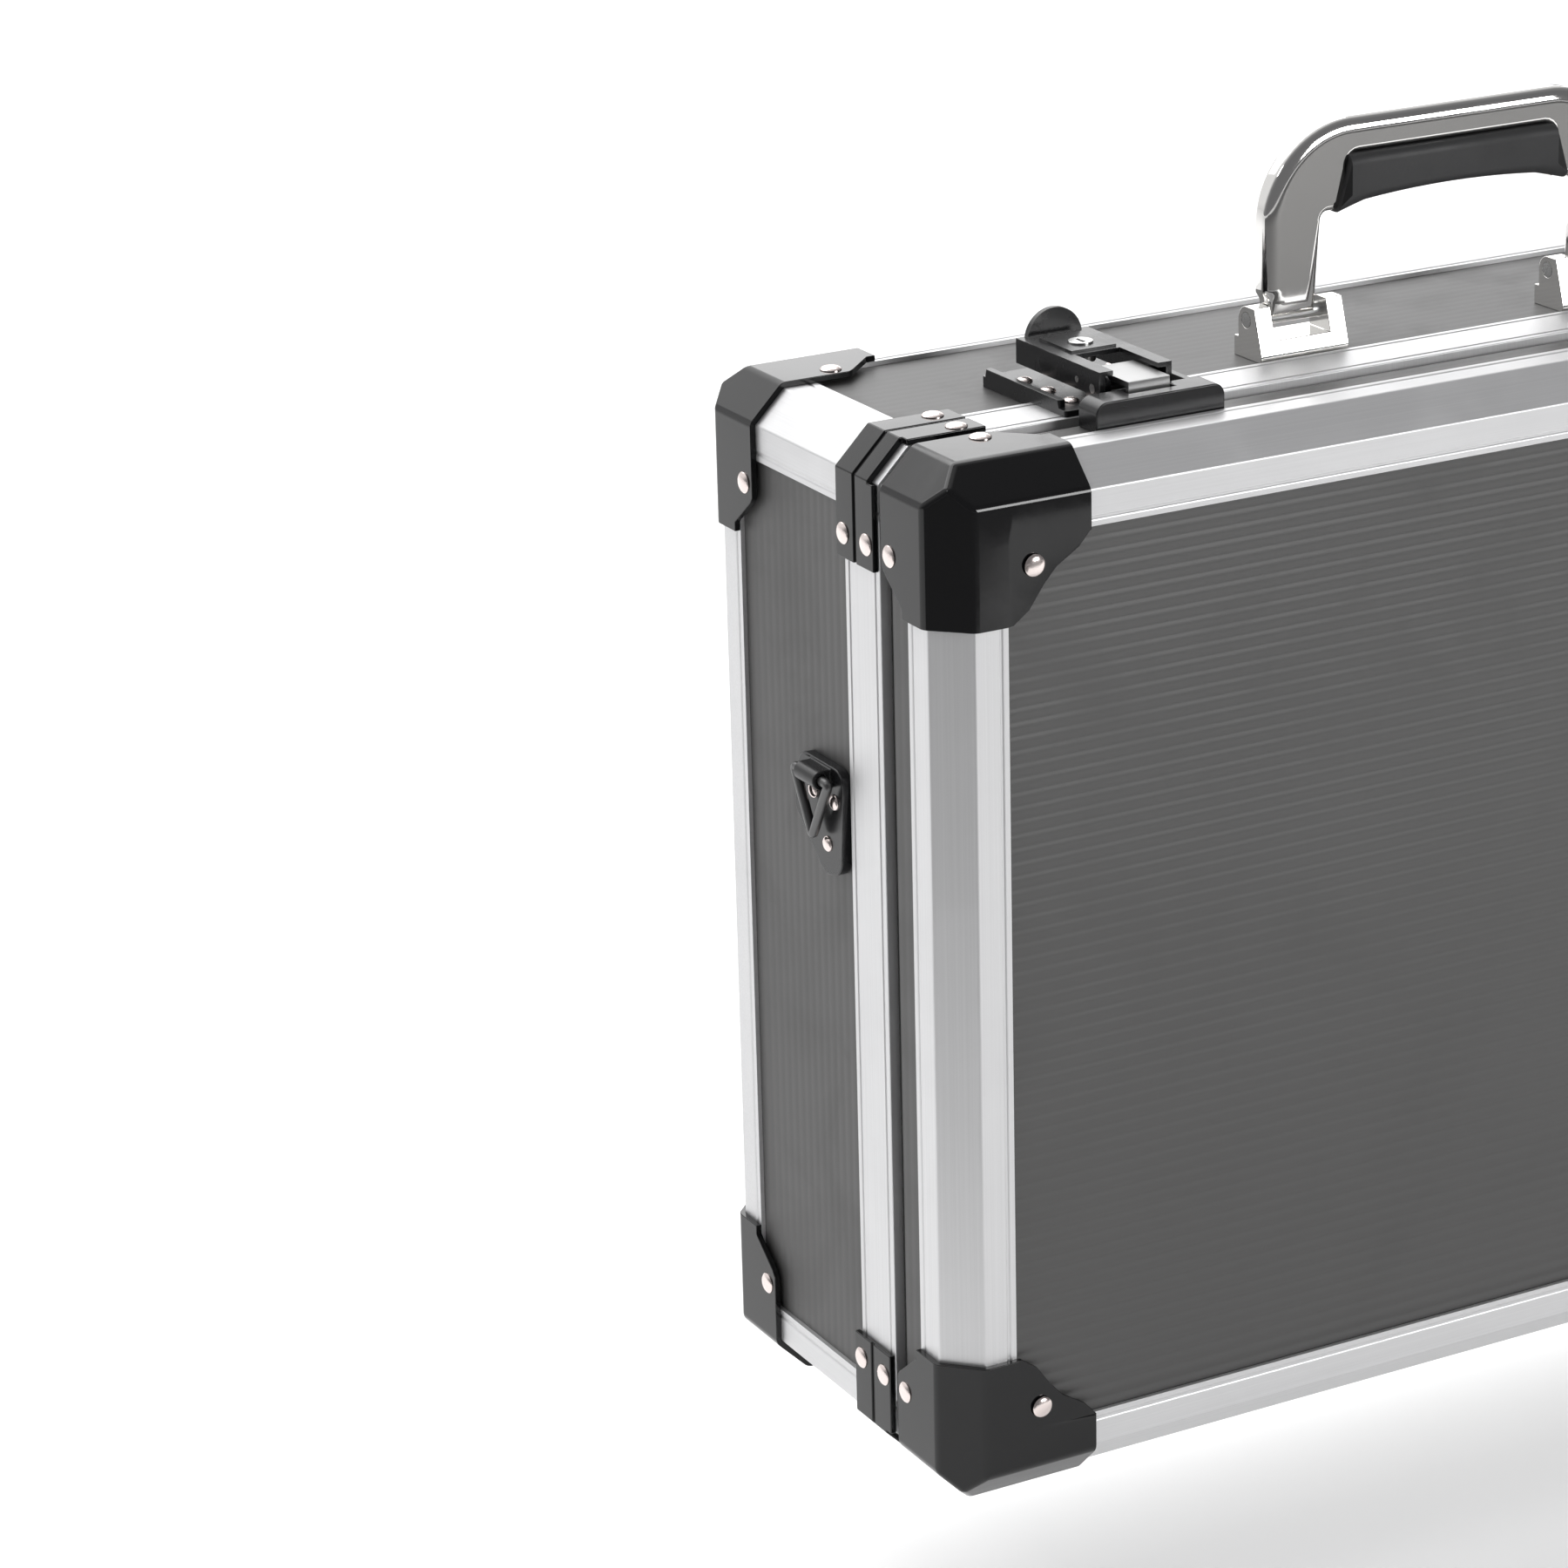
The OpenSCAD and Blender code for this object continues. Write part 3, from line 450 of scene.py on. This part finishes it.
def ribbed_sheet(name, node, face, across, depth):
    """Sheet in a CAD panel's box; face is a sign and an axis, across the axis that the ribs follow
    each other along"""
    low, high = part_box(node)
    sign, axis, run = (1 if face[0] == "+" else -1), "XYZ".index(face[1]), "XYZ".index(across)
    other = 3 - axis - run
    outer, inner = (high, low) if sign > 0 else (low, high)
    count = round((high[run] - low[run]) / RIB_PITCH)
    bm = bmesh.new()
    bmesh.ops.create_grid(bm, x_segments=1, y_segments=count * RIB_ROWS, size=1)
    for vert in bm.verts:
        part = (vert.co.y + 1) / 2
        wave = (1 - math.cos(2 * math.pi * part * count)) / 2
        spot = Vector()
        spot[other] = low[other] + (vert.co.x + 1) / 2 * (high[other] - low[other])
        spot[run] = low[run] + part * (high[run] - low[run])
        spot[axis] = outer[axis] - sign * depth * (1 - wave ** RIB_SWELL)
        vert.co = spot
    pushed = bmesh.ops.extrude_face_region(bm, geom=bm.faces[:])["geom"]
    for vert in (g for g in pushed if isinstance(g, bmesh.types.BMVert)):
        vert.co[axis] = inner[axis]
    bmesh.ops.recalc_face_normals(bm, faces=bm.faces)
    return hand_over(name, bm, node, sheet_grey)


ribbed_sheet("front_sheet", "lid_front_panel", "-Y", "Z", FACE_RIB)
ribbed_sheet("back_sheet", "back_panel", "+Y", "Z", FACE_RIB)
for part in ("lid", "base"):
    for side, face in (("left", "-X"), ("right", "+X")):
        ribbed_sheet(f"{part}_{side}_sheet", f"{part}_wall_{side}", face, "Y", SIDE_RIB)
    for level, face in (("top", "+Z"), ("bottom", "-Z")):
        ribbed_sheet(f"{part}_{level}_sheet", f"{part}_wall_{level}", face, "Y", END_RIB)

# %% [markdown]
# ## Aluminium edges
# An edge profile is extruded metal, so it has one section along its whole length: two flanges, a
# 45 degree face between them and a fine groove on each flange. The section is drawn once, pushed
# along an axis, and its two long bends are rounded with a bevel.

# %% Draw the section
GROOVE = 0.35 * MM
BEND = flange * 0.477
THICK = 1.5 * MM
BEND_ROUND = 1.4 * MM
FINE_ROUND = 0.25 * MM
LONG_EDGE = 4 * MM      # an edge longer than this runs along the profile


def flange_points():
    """Outside of one flange from its free edge to the bend, as (depth, distance)"""
    return [(0, flange), (0, flange - 2.0 * MM), (GROOVE, flange - 2.3 * MM), (GROOVE, flange - 2.9 * MM),
            (0, flange - 3.2 * MM), (0, BEND)]


inside_bend = BEND + THICK * math.sqrt(2) - THICK
EDGE_SECTION = (flange_points() + [(b, a) for a, b in reversed(flange_points())]
                + [(flange, THICK), (inside_bend, THICK), (THICK, inside_bend), (THICK, flange)])
print("edge section has", len(EDGE_SECTION), "points")

# %% Extrude a section
# Where a section's two directions and its length go
PLANES = {"X": (1, 2, 0), "Y": (0, 2, 1), "Z": (0, 1, 2)}


def bar(bm, section, along, start, end, corner):
    """Adds a section pushed along an axis from start to end, carried to a corner of the case"""
    first, second, third = PLANES[along]

    def spot(a, b, c):
        point = Vector()
        point[first], point[second], point[third] = a, b, c
        return point

    ring = [bm.verts.new(spot(a, b, start)) for a, b in section]
    pushed = bmesh.ops.extrude_face_region(bm, geom=[bm.faces.new(ring)])["geom"]
    far = [g for g in pushed if isinstance(g, bmesh.types.BMVert)]
    bmesh.ops.translate(bm, verts=far, vec=spot(0, 0, end - start))
    bmesh.ops.transform(bm, verts=ring + far, matrix=corner)


def round_edges(bm, width, low, high, segments=3, only=lambda edge: True):
    """Bevels the edges whose faces meet at an angle between two limits in degrees"""
    bm.normal_update()
    edges = [e for e in bm.edges if len(e.link_faces) == 2
             and low <= math.degrees(e.calc_face_angle()) <= high and only(e)]
    bmesh.ops.bevel(bm, geom=edges, offset=width, offset_type="OFFSET", affect="EDGES", segments=segments,
                    profile=0.5, material=-1, clamp_overlap=True)


def outside(edge):
    """True for an edge on the skin of the case, not inside its wall"""
    middle = (edge.verts[0].co + edge.verts[1].co) / 2
    return max(abs(middle.x) - half_w, abs(middle.y) - half_d,
               abs(middle.z - (z_low + z_top) / 2) - case_h / 2) > -0.1 * MM


def profile(name, node, grain_axis, spans):
    """Profiles in the place of one CAD node; spans are (axis, start, end, corner)"""
    bm = bmesh.new()
    for along, start, end, corner in spans:
        bar(bm, EDGE_SECTION, along, start, end, corner)
    bmesh.ops.recalc_face_normals(bm, faces=bm.faces)
    round_edges(bm, BEND_ROUND, 40, 50, 4, lambda e: e.calc_length() > LONG_EDGE and outside(e))
    round_edges(bm, FINE_ROUND, 80, 100, 2, lambda e: e.is_convex and e.calc_length() > MM)
    return hand_over(name, bm, node, aluminium[grain_axis])


# %% Make the lid's and the back's profiles
for level, word in ((1, "top"), (-1, "bottom")):
    profile(f"lid_{word}_edge", f"lid_profile_{word}", "X",
            [("X", flange, case_w - flange, at_corner(-1, -1, level))])
for side, word in ((-1, "left"), (1, "right")):
    profile(f"lid_{word}_edge", f"lid_profile_{word}", "Z",
            [("Z", flange, case_h - flange, at_corner(side, -1, -1))])
profile("back_edges", "back_profiles", "X",
        [span for sign in (-1, 1) for span in (("X", flange, case_w - flange, at_corner(-1, 1, sign)),
                                               ("Z", flange, case_h - flange, at_corner(sign, 1, -1)))])

# %% Make the short profiles along the depth and the strips round the mouth
corners = [(side, level) for side in (-1, 1) for level in (-1, 1)]
profile("lid_depth_edges", "lid_edge_profiles", "Y",
        [("Y", lid_low.y + half_d, lid_high.y + half_d, at_corner(side, -1, level))
         for side, level in corners])
base_low, base_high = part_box("base_edge_profiles")
profile("base_depth_edges", "base_edge_profiles", "Y",
        [("Y", base_low.y + half_d, base_high.y + half_d, at_corner(side, -1, level))
         for side, level in corners])

# %% [markdown]
# ## The strip round the mouth
# Where the lid meets the base, the base has a flat aluminium strip with a fine groove near each of
# its edges. Its section is drawn across its width, with a lip that turns in over the sheet.

# %% Draw and push the strips
RIM_W = 22 * MM
LIP = 4.5 * MM


def rim_section(shift):
    """Section of the strip, as (distance from the lid, depth)"""
    face = [(0, 0)]
    for groove in (2.2 * MM, 18.6 * MM):
        face += [(groove, 0), (groove + 0.3 * MM, GROOVE),
                 (groove + 0.9 * MM, GROOVE), (groove + 1.2 * MM, 0)]
    face += [(RIM_W, 0), (RIM_W, THICK), (1.4 * MM, THICK), (1.4 * MM, LIP), (0, LIP)]
    return [(shift + a, b) for a, b in face]


mouth = rim_low.y + half_d
rim_bm = bmesh.new()
for sign in (-1, 1):
    bar(rim_bm, rim_section(mouth), "X", flange, case_w - flange, at_corner(-1, -1, sign))
    bar(rim_bm, [(b, a) for a, b in rim_section(mouth)], "Z", flange, case_h - flange,
        at_corner(sign, -1, -1))
bmesh.ops.recalc_face_normals(rim_bm, faces=rim_bm.faces)
round_edges(rim_bm, 0.4 * MM, 80, 100, 3,
            lambda e: e.is_convex and outside(e) and e.calc_length() > LONG_EDGE)
hand_over("mouth_strips", rim_bm, "rim_strips", aluminium["Z"])

# %% [markdown]
# ## Corner guards
# A guard is a moulding, so all its outer edges flow into each other. The CAD solid already has the
# right flaps, so a merged copy of it is rounded: wide bevels where the outer faces meet, and fine
# ones round the rim. Two cuts across the front flap let its middle sink a little, which leaves the
# raised L that follows the corner.


# %% Copies of CAD solids
def merged_copy(node):
    """bmesh of a CAD node, with its loose triangles joined and its flat faces made whole"""
    bm = bmesh.new()
    bm.from_mesh(frame["nodes"][node].data)
    bmesh.ops.remove_doubles(bm, verts=bm.verts, dist=2e-6)
    bmesh.ops.dissolve_limit(bm, angle_limit=math.radians(0.4), verts=bm.verts, edges=bm.edges)
    return bm


def rounded(name, node, material, width, segments=3, low=42):
    """Copy of a CAD node with its sharp edges rounded"""
    bm = merged_copy(node)
    round_edges(bm, width, low, 180, segments)
    return hand_over(name, bm, node, material)


# %% Mould the guards
STEP_FROM, STEP_TO, STEP_DEEP = 21 * MM, 22.6 * MM, 0.6 * MM
GUARD_SKIN = 1.9 * MM   # a guard stands out of the case by a little more than this
GUARD_ROUND, GUARD_RIM = 1.6 * MM, 0.5 * MM


def outer_pair(edge):
    """True if both faces of an edge look outwards from the corner at the origin"""
    return all(max(face.normal) < 0.05 for face in edge.link_faces)


def mould_guard(name, node, side, face, level):
    """Guard of one corner, shaped where the left front bottom one stands and carried back"""
    place = at_corner(side, face, level)
    bm = merged_copy(node)
    bmesh.ops.transform(bm, matrix=place.inverted(), verts=bm.verts)
    for axis in (Vector((1, 0, 0)), Vector((0, 0, 1))):
        for cut in (STEP_FROM, STEP_TO):
            bmesh.ops.bisect_plane(bm, geom=bm.verts[:] + bm.edges[:] + bm.faces[:], dist=1e-6,
                                   plane_co=axis * cut, plane_no=axis)
    for vert in bm.verts:
        if vert.co.y < -GUARD_SKIN and min(vert.co.x, vert.co.z) > STEP_TO - 1e-5:
            vert.co.y += STEP_DEEP
    bmesh.ops.recalc_face_normals(bm, faces=bm.faces)
    round_edges(bm, GUARD_ROUND, 35, 70, 4, outer_pair)
    round_edges(bm, GUARD_RIM, 70, 100, 3, lambda e: e.is_convex)
    bmesh.ops.transform(bm, matrix=place, verts=bm.verts)
    bmesh.ops.recalc_face_normals(bm, faces=bm.faces)
    return hand_over(name, bm, node, guard_black)


for level, high_word in ((1, "top"), (-1, "bottom")):
    for side, side_word in ((-1, "left"), (1, "right")):
        words = f"{high_word}_{side_word}"
        mould_guard(f"lid_guard_{words}", f"lid_corner_{words}", side, -1, level)
        mould_guard(f"back_guard_{words}", f"back_corner_{words}", side, 1, level)
        rounded(f"mouth_guard_{words}", f"rim_corner_{words}", guard_black,
                GUARD_RIM, 3, 25)

# %% [markdown]
# ## Rivets
# The heads are shallow domes. One is turned from a curve with spin, and a copy goes where each CAD
# head stands: the thinnest way through a head is its axis, and it points away from the case.

# %% Turn and place the rivets
def dome(bm, radius, height, steps=28):
    """Fills an empty bmesh with a domed head that stands on z = 0"""
    curve = [(0.0, 0.0), (1.0, 0.0), (1.0, 0.22), (0.93, 0.42),
             (0.80, 0.64), (0.60, 0.84), (0.34, 0.96), (0.0, 1.0)]
    chain = [bm.verts.new((radius * r, 0, height * h)) for r, h in curve]
    edges = [bm.edges.new(pair) for pair in zip(chain, chain[1:])]
    bmesh.ops.spin(bm, geom=chain + edges, cent=(0, 0, 0), axis=(0, 0, 1), angle=math.tau, steps=steps,
                   use_merge=True)
    bmesh.ops.remove_doubles(bm, verts=bm.verts, dist=1e-7)


def heads_of(node):
    """Centre of the foot, outward axis, radius and height of each head in a CAD node"""
    bm = merged_copy(node)
    unseen, heads = set(bm.verts), []
    while unseen:
        island, stack = set(), [unseen.pop()]
        while stack:
            vert = stack.pop()
            island.add(vert)
            near = {e.other_vert(vert) for e in vert.link_edges} & unseen
            unseen -= near
            stack.extend(near)
        low = Vector([min(v.co[i] for v in island) for i in range(3)])
        high = Vector([max(v.co[i] for v in island) for i in range(3)])
        size, centre = high - low, (low + high) / 2
        axis = min(range(3), key=lambda i: size[i])
        out = Vector()
        middle = Vector((0, 0, (z_low + z_top) / 2))
        out[axis] = 1 if centre[axis] > middle[axis] else -1
        heads.append((centre - out * size[axis] / 2, out, max(size) / 2, size[axis]))
    bm.free()
    return heads


def rivets(name, node):
    """A turned dome in the place of each head of a CAD node"""
    bm = bmesh.new()
    for foot, out, radius, height in heads_of(node):
        one = bmesh.new()
        dome(one, radius, height)
        bmesh.ops.recalc_face_normals(one, faces=one.faces)
        upwards = out.to_track_quat("Z", "Y").to_matrix().to_4x4()
        bmesh.ops.transform(one, verts=one.verts, matrix=Matrix.Translation(foot) @ upwards)
        copy = bpy.data.meshes.new("one head")
        one.to_mesh(copy)
        one.free()
        bm.from_mesh(copy)
        bpy.data.meshes.remove(copy)
    return hand_over(name, bm, node, nickel)


rivets("lid_rivet_domes", "lid_rivets")
rivets("base_rivet_domes", "base_rivets")

# %% [markdown]
# ## Handle
# The chrome arch is one casting with soft edges, and its soft grip fills the middle. The grip is a
# box with many rows along its length, rounded all round, whose underside is then arched so that
# four fingers fit it.

# %% Draw the arch
arch_low, arch_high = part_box("handle_frame")
ARCH_R = 32 * MM
LEG_W = 21 * MM
GRIP_END = 40 * MM
INNER_WEIGHT = 0.42     # how much less the finger side is rounded than the outside
foot_z = arch_low.z + 4.75 * MM          # the axis the handle folds about
finger_z = foot_z + 32 * MM
band_z = foot_z + 50 * MM


def arc(centre, radius, start, end, steps):
    """Points of an arc in the plane of the handle; angles in degrees"""
    turns = [math.radians(start + (end - start) * i / steps) for i in range(steps + 1)]
    return [(centre[0] + radius * math.cos(t), centre[1] + radius * math.sin(t)) for t in turns]


def arch_outline():
    """Outline of the arch from the front, counter-clockwise, and how much each point's edge is rounded"""
    outer, inner = arch_high.x, arch_high.x - LEG_W
    right = [(inner + 1.5 * MM, foot_z), (outer - 1.8 * MM, foot_z), (outer - 1.8 * MM, foot_z + 5.2 * MM),
             (outer - 1.2 * MM, foot_z + 6.6 * MM), (outer - 0.4 * MM, foot_z + 7.8 * MM),
             (outer, foot_z + 9.4 * MM)]
    right += arc((outer - ARCH_R, arch_high.z - ARCH_R), ARCH_R, 0, 90, 20)
    left = [(-x, z) for x, z in reversed(right)]
    within = arc((4 * MM - GRIP_END, band_z - 4 * MM), 4 * MM, 180, 90, 5)
    step = arc((-inner + 2.5 * MM, finger_z - 2.5 * MM), 2.5 * MM, 180, 90, 5)
    half = [(-inner, finger_z - 2.5 * MM)] + step[1:] + [(-GRIP_END, finger_z)] + within
    outline = right + left + half + [(-x, z) for x, z in reversed(half)]
    return outline, [1.0] * len(right + left) + [INNER_WEIGHT] * (2 * len(half))


# %% [markdown]
# The arch's edges are too long and too wide for a plain bevel, which would stop at the narrow step
# beside each bracket. So it is cast in layers: one face is extruded again and again, and after each
# push its outline is drawn in or let out a little, following a quarter circle at front and back.
# The face left inside by each push is deleted, so that the arch is hollow and closed.

# %% Cast the arch and its brackets
ARCH_REACH, ARCH_DEEP = 5.2 * MM, 3.2 * MM


def drawn_in(outline, distances):
    """Outline moved inwards by a distance at each point, with its corners mitred"""
    moved = []
    for i, (point, distance) in enumerate(zip(outline, distances)):
        here = Vector(point)
        before, after = here - Vector(outline[i - 1]), Vector(outline[(i + 1) % len(outline)]) - here
        a, b = (Vector((-v.y, v.x)).normalized() for v in (before, after))
        mitre = (a + b).normalized()
        moved.append(here + mitre * distance / max(0.5, mitre.dot(a)))
    return moved


def cushion(bm, outline, reaches, place, low, high, deep, steps=7):
    """Adds a solid between two depths, whose rounded edges reach inwards by reaches and along by deep

    place turns two outline coordinates and a depth into a point
    """
    turns = [math.pi / 2 * i / steps for i in range(steps + 1)]
    levels = [(1 - math.sin(t), low + deep * (1 - math.cos(t))) for t in turns]
    levels += [(1 - math.cos(t), high - deep * (1 - math.sin(t))) for t in turns]

    def spots(part, depth):
        return [place(*spot, depth) for spot in drawn_in(outline, [reach * part for reach in reaches])]

    ring = [bm.verts.new(spot) for spot in spots(*levels[0])]
    face = bm.faces.new(ring)
    for step, level in enumerate(levels[1:]):
        left_inside = [face] if step else []
        pushed = set(bmesh.ops.extrude_face_region(bm, geom=[face])["geom"])
        bmesh.ops.delete(bm, geom=left_inside, context="FACES_ONLY")
        face = next(g for g in pushed if isinstance(g, bmesh.types.BMFace))
        ring = [next(e.other_vert(v) for e in v.link_edges if e.other_vert(v) in pushed) for v in ring]
        for vert, spot in zip(ring, spots(*level)):
            vert.co = spot


arch_bm = bmesh.new()
arch_line, arch_weights = arch_outline()
cushion(arch_bm, arch_line, [weight * ARCH_REACH for weight in arch_weights],
        lambda a, b, depth: Vector((a, depth, b)), arch_low.y, arch_high.y, ARCH_DEEP)
bmesh.ops.remove_doubles(arch_bm, verts=arch_bm.verts, dist=1e-6)
bmesh.ops.recalc_face_normals(arch_bm, faces=arch_bm.faces)
hand_over("handle_arch", arch_bm, "handle_frame", chrome)
for word in ("left", "right"):
    rounded(f"handle_block_{word}", f"handle_bracket_{word}", chrome, 0.8 * MM, 3, 50)

# %% Mould the grip
GRIP_ROUND = 3.6 * MM
ARCH_RISE, ARCH_TALL = 2.4 * MM, 9 * MM     # how far the underside is lifted, and how high that reaches
END_FLARE, END_DROP = 0.10, 2.0 * MM
WAIST = 0.10


def runs_lengthways(edge):
    return abs((edge.verts[0].co - edge.verts[1].co).x) > 10 * MM


grip_low, grip_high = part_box("handle_grip")
grip_bm = bmesh.new()
bmesh.ops.create_cube(grip_bm, size=1)
bmesh.ops.scale(grip_bm, verts=grip_bm.verts, vec=grip_high - grip_low)
bmesh.ops.translate(grip_bm, verts=grip_bm.verts, vec=(grip_low + grip_high) / 2)
round_edges(grip_bm, GRIP_ROUND, 80, 100, 5, runs_lengthways)
length_edges = [e for e in grip_bm.edges if runs_lengthways(e)]
bmesh.ops.subdivide_edges(grip_bm, edges=length_edges, cuts=23, use_grid_fill=True)
half_grip = grip_high.x
for vert in grip_bm.verts:
    near_end = max(0.0, (abs(vert.co.x) / half_grip - 0.86) / 0.14)
    low_part = max(0.0, 1 - (vert.co.z - grip_low.z) / ARCH_TALL)
    arch = ARCH_RISE * (1 - (vert.co.x / half_grip) ** 2)
    vert.co.z += low_part * arch
    if low_part > 0.7:
        vert.co.x *= 1 + END_FLARE * near_end
        vert.co.z -= END_DROP * near_end
    vert.co.y += (vert.co.y - (grip_low.y + grip_high.y) / 2) * -WAIST * (1 - near_end)
grip_bm.normal_update()
hand_over("soft_grip", grip_bm, "handle_grip", grip_rubber)

# %% [markdown]
# ## Latches
# Each latch is a plate with a lever on it. They are pressed and enamelled: the outer corners, seen
# from above, are round, the other edges are only slightly soft, and the enamel has rubbed thin
# along them.

# %% Press the latches
def pressed(name, node, upright, width):
    """Copy of a CAD node with its upright outer corners rounded more than its other edges"""
    low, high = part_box(node)

    def upright_corner(edge):
        foot, head = (vert.co for vert in edge.verts)
        return (edge.is_convex and abs((foot - head).z) > 0.99 * edge.calc_length() > 1.5 * MM
                and min(foot.x - low.x, high.x - foot.x) < 0.1 * MM)

    bm = merged_copy(node)
    round_edges(bm, upright, 80, 100, 5, upright_corner)
    round_edges(bm, width, 42, 180)
    return hand_over(name, bm, node, latch_enamel)


for word in ("left", "right"):
    pressed(f"latch_base_{word}", f"latch_plate_{word}", 2.4 * MM, 0.45 * MM)
    pressed(f"latch_lever_{word}", f"lever_{word}", 2.4 * MM, 0.6 * MM)
    rounded(f"latch_catch_{word}", f"catch_{word}", latch_enamel, 0.5 * MM)
    rounded(f"latch_hook_{word}", f"hook_{word}", hook_steel, 0.3 * MM)
    rounded(f"latch_lock_{word}", f"lock_{word}", pin_steel, 0.2 * MM)

# %% [markdown]
# ## Strap rings
# A ring is one piece of wire bent to a triangle. A closed curve with a round bevel is the natural
# way to make wire, and it becomes a mesh before it is handed over.

# %% Bend the rings
WIRE = 1.6 * MM         # radius of the wire
TIP_R = 1.6 * MM        # how far from a tip the wire starts to bend


def bend_ring(name, node):
    """Triangle of wire that fills the box of a CAD ring, point down"""
    low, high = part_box(node)
    x = (low.x + high.x) / 2
    y, top = (low.y + high.y) / 2, high.z - WIRE
    half, drop = (high.y - low.y) / 2 - WIRE, (high.z - low.z) - 2 * WIRE
    tips = [Vector((x, y - half, top)), Vector((x, y + half, top)), Vector((x, y, top - drop))]
    path = []
    for i, tip in enumerate(tips):
        before, after = (tips[i - 1] - tip).normalized(), (tips[(i + 1) % 3] - tip).normalized()
        for part in (0, 0.25, 0.5, 0.75, 1):
            a, b = tip + before * TIP_R, tip + after * TIP_R
            path.append((1 - part) ** 2 * a + 2 * part * (1 - part) * tip + part ** 2 * b)
    curve = bpy.data.curves.new(name, "CURVE")
    curve.dimensions = "3D"
    curve.bevel_depth, curve.bevel_resolution = WIRE, 4
    wire = curve.splines.new("POLY")
    wire.points.add(len(path) - 1)
    for point, spot in zip(wire.points, path):
        point.co = (*spot, 1)
    wire.use_cyclic_u = True
    holder = bpy.data.objects.new("wire", curve)
    scene.collection.objects.link(holder)
    mesh = bpy.data.meshes.new_from_object(holder.evaluated_get(bpy.context.evaluated_depsgraph_get()))
    bpy.data.objects.remove(holder)
    bm = bmesh.new()
    bm.from_mesh(mesh)
    bmesh.ops.recalc_face_normals(bm, faces=bm.faces)
    return hand_over(name, bm, node, ring_plate)


for word in ("left", "right"):
    bend_ring(f"strap_wire_{word}", f"strap_ring_{word}")
    rounded(f"strap_anchor_{word}", f"strap_plate_{word}", latch_enamel, 0.5 * MM)

# %% [markdown]
# ## Inside and hinge
# The linings are felt over stiff board, so their edges are soft but straight. Each is a box whose
# mouth is inset and pushed in, which leaves a thin wall all round. The hinge is a long folded strip
# with turned knuckles. The plain pins keep their CAD meshes and only get a finish.

# %% Line the case and fit the hinge
TRAY_WALL = 2.5 * MM
TRAY_CORNER, TRAY_SOFT = 3.4 * MM, 1.0 * MM


def tray(name, node, mouth_way):
    """Open felt tray in a CAD lining's box; mouth_way is -1 or 1, the way it opens along the depth"""
    low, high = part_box(node)
    bm = bmesh.new()
    bmesh.ops.create_cube(bm, size=1)
    bmesh.ops.scale(bm, verts=bm.verts, vec=high - low)
    bmesh.ops.translate(bm, verts=bm.verts, vec=(low + high) / 2)
    mouth_y = high.y if mouth_way > 0 else low.y
    round_edges(bm, TRAY_CORNER, 80, 100, 1, lambda e: any(abs(v.co.y - mouth_y) > MM for v in e.verts))
    bm.normal_update()
    mouth_face = next(f for f in bm.faces if f.normal.y * mouth_way > 0.9)
    bmesh.ops.inset_region(bm, faces=[mouth_face], thickness=TRAY_WALL, use_even_offset=True)
    sunk = bmesh.ops.extrude_face_region(bm, geom=[mouth_face])["geom"]
    bmesh.ops.delete(bm, geom=[mouth_face], context="FACES_ONLY")
    bmesh.ops.translate(bm, verts=[g for g in sunk if isinstance(g, bmesh.types.BMVert)],
                        vec=(0, -mouth_way * (high.y - low.y - TRAY_WALL), 0))
    bmesh.ops.recalc_face_normals(bm, faces=bm.faces)
    round_edges(bm, TRAY_SOFT, 40, 180, 3)
    return hand_over(name, bm, node, felt)


tray("lid_tray", "lid_lining", 1)
tray("base_tray", "base_lining", -1)
rounded("mouth_seal", "lid_seal", seal_rubber, 0.6 * MM)
rounded("lid_hinge_strip", "lid_hinge_leaf", pin_steel, 0.15 * MM, 2, 60)
rounded("base_hinge_strip", "base_hinge_leaf", pin_steel, 0.15 * MM, 2, 60)
for node in ("hinge_pin", "latch_pins", "handle_pins", "hook_pin_left", "hook_pin_right"):
    for slot in frame["nodes"][node].material_slots:
        slot.material = pin_steel
print("faces in all:", total_faces)

# %% [markdown]
# ## The size
# The box of the case before the looks and after them is printed.

# %% Print the boxes
visual_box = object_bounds()
for word, box in (("cad", cad_box), ("visual", visual_box)):
    print(word, [round(value, 4) for corner in box for value in corner])
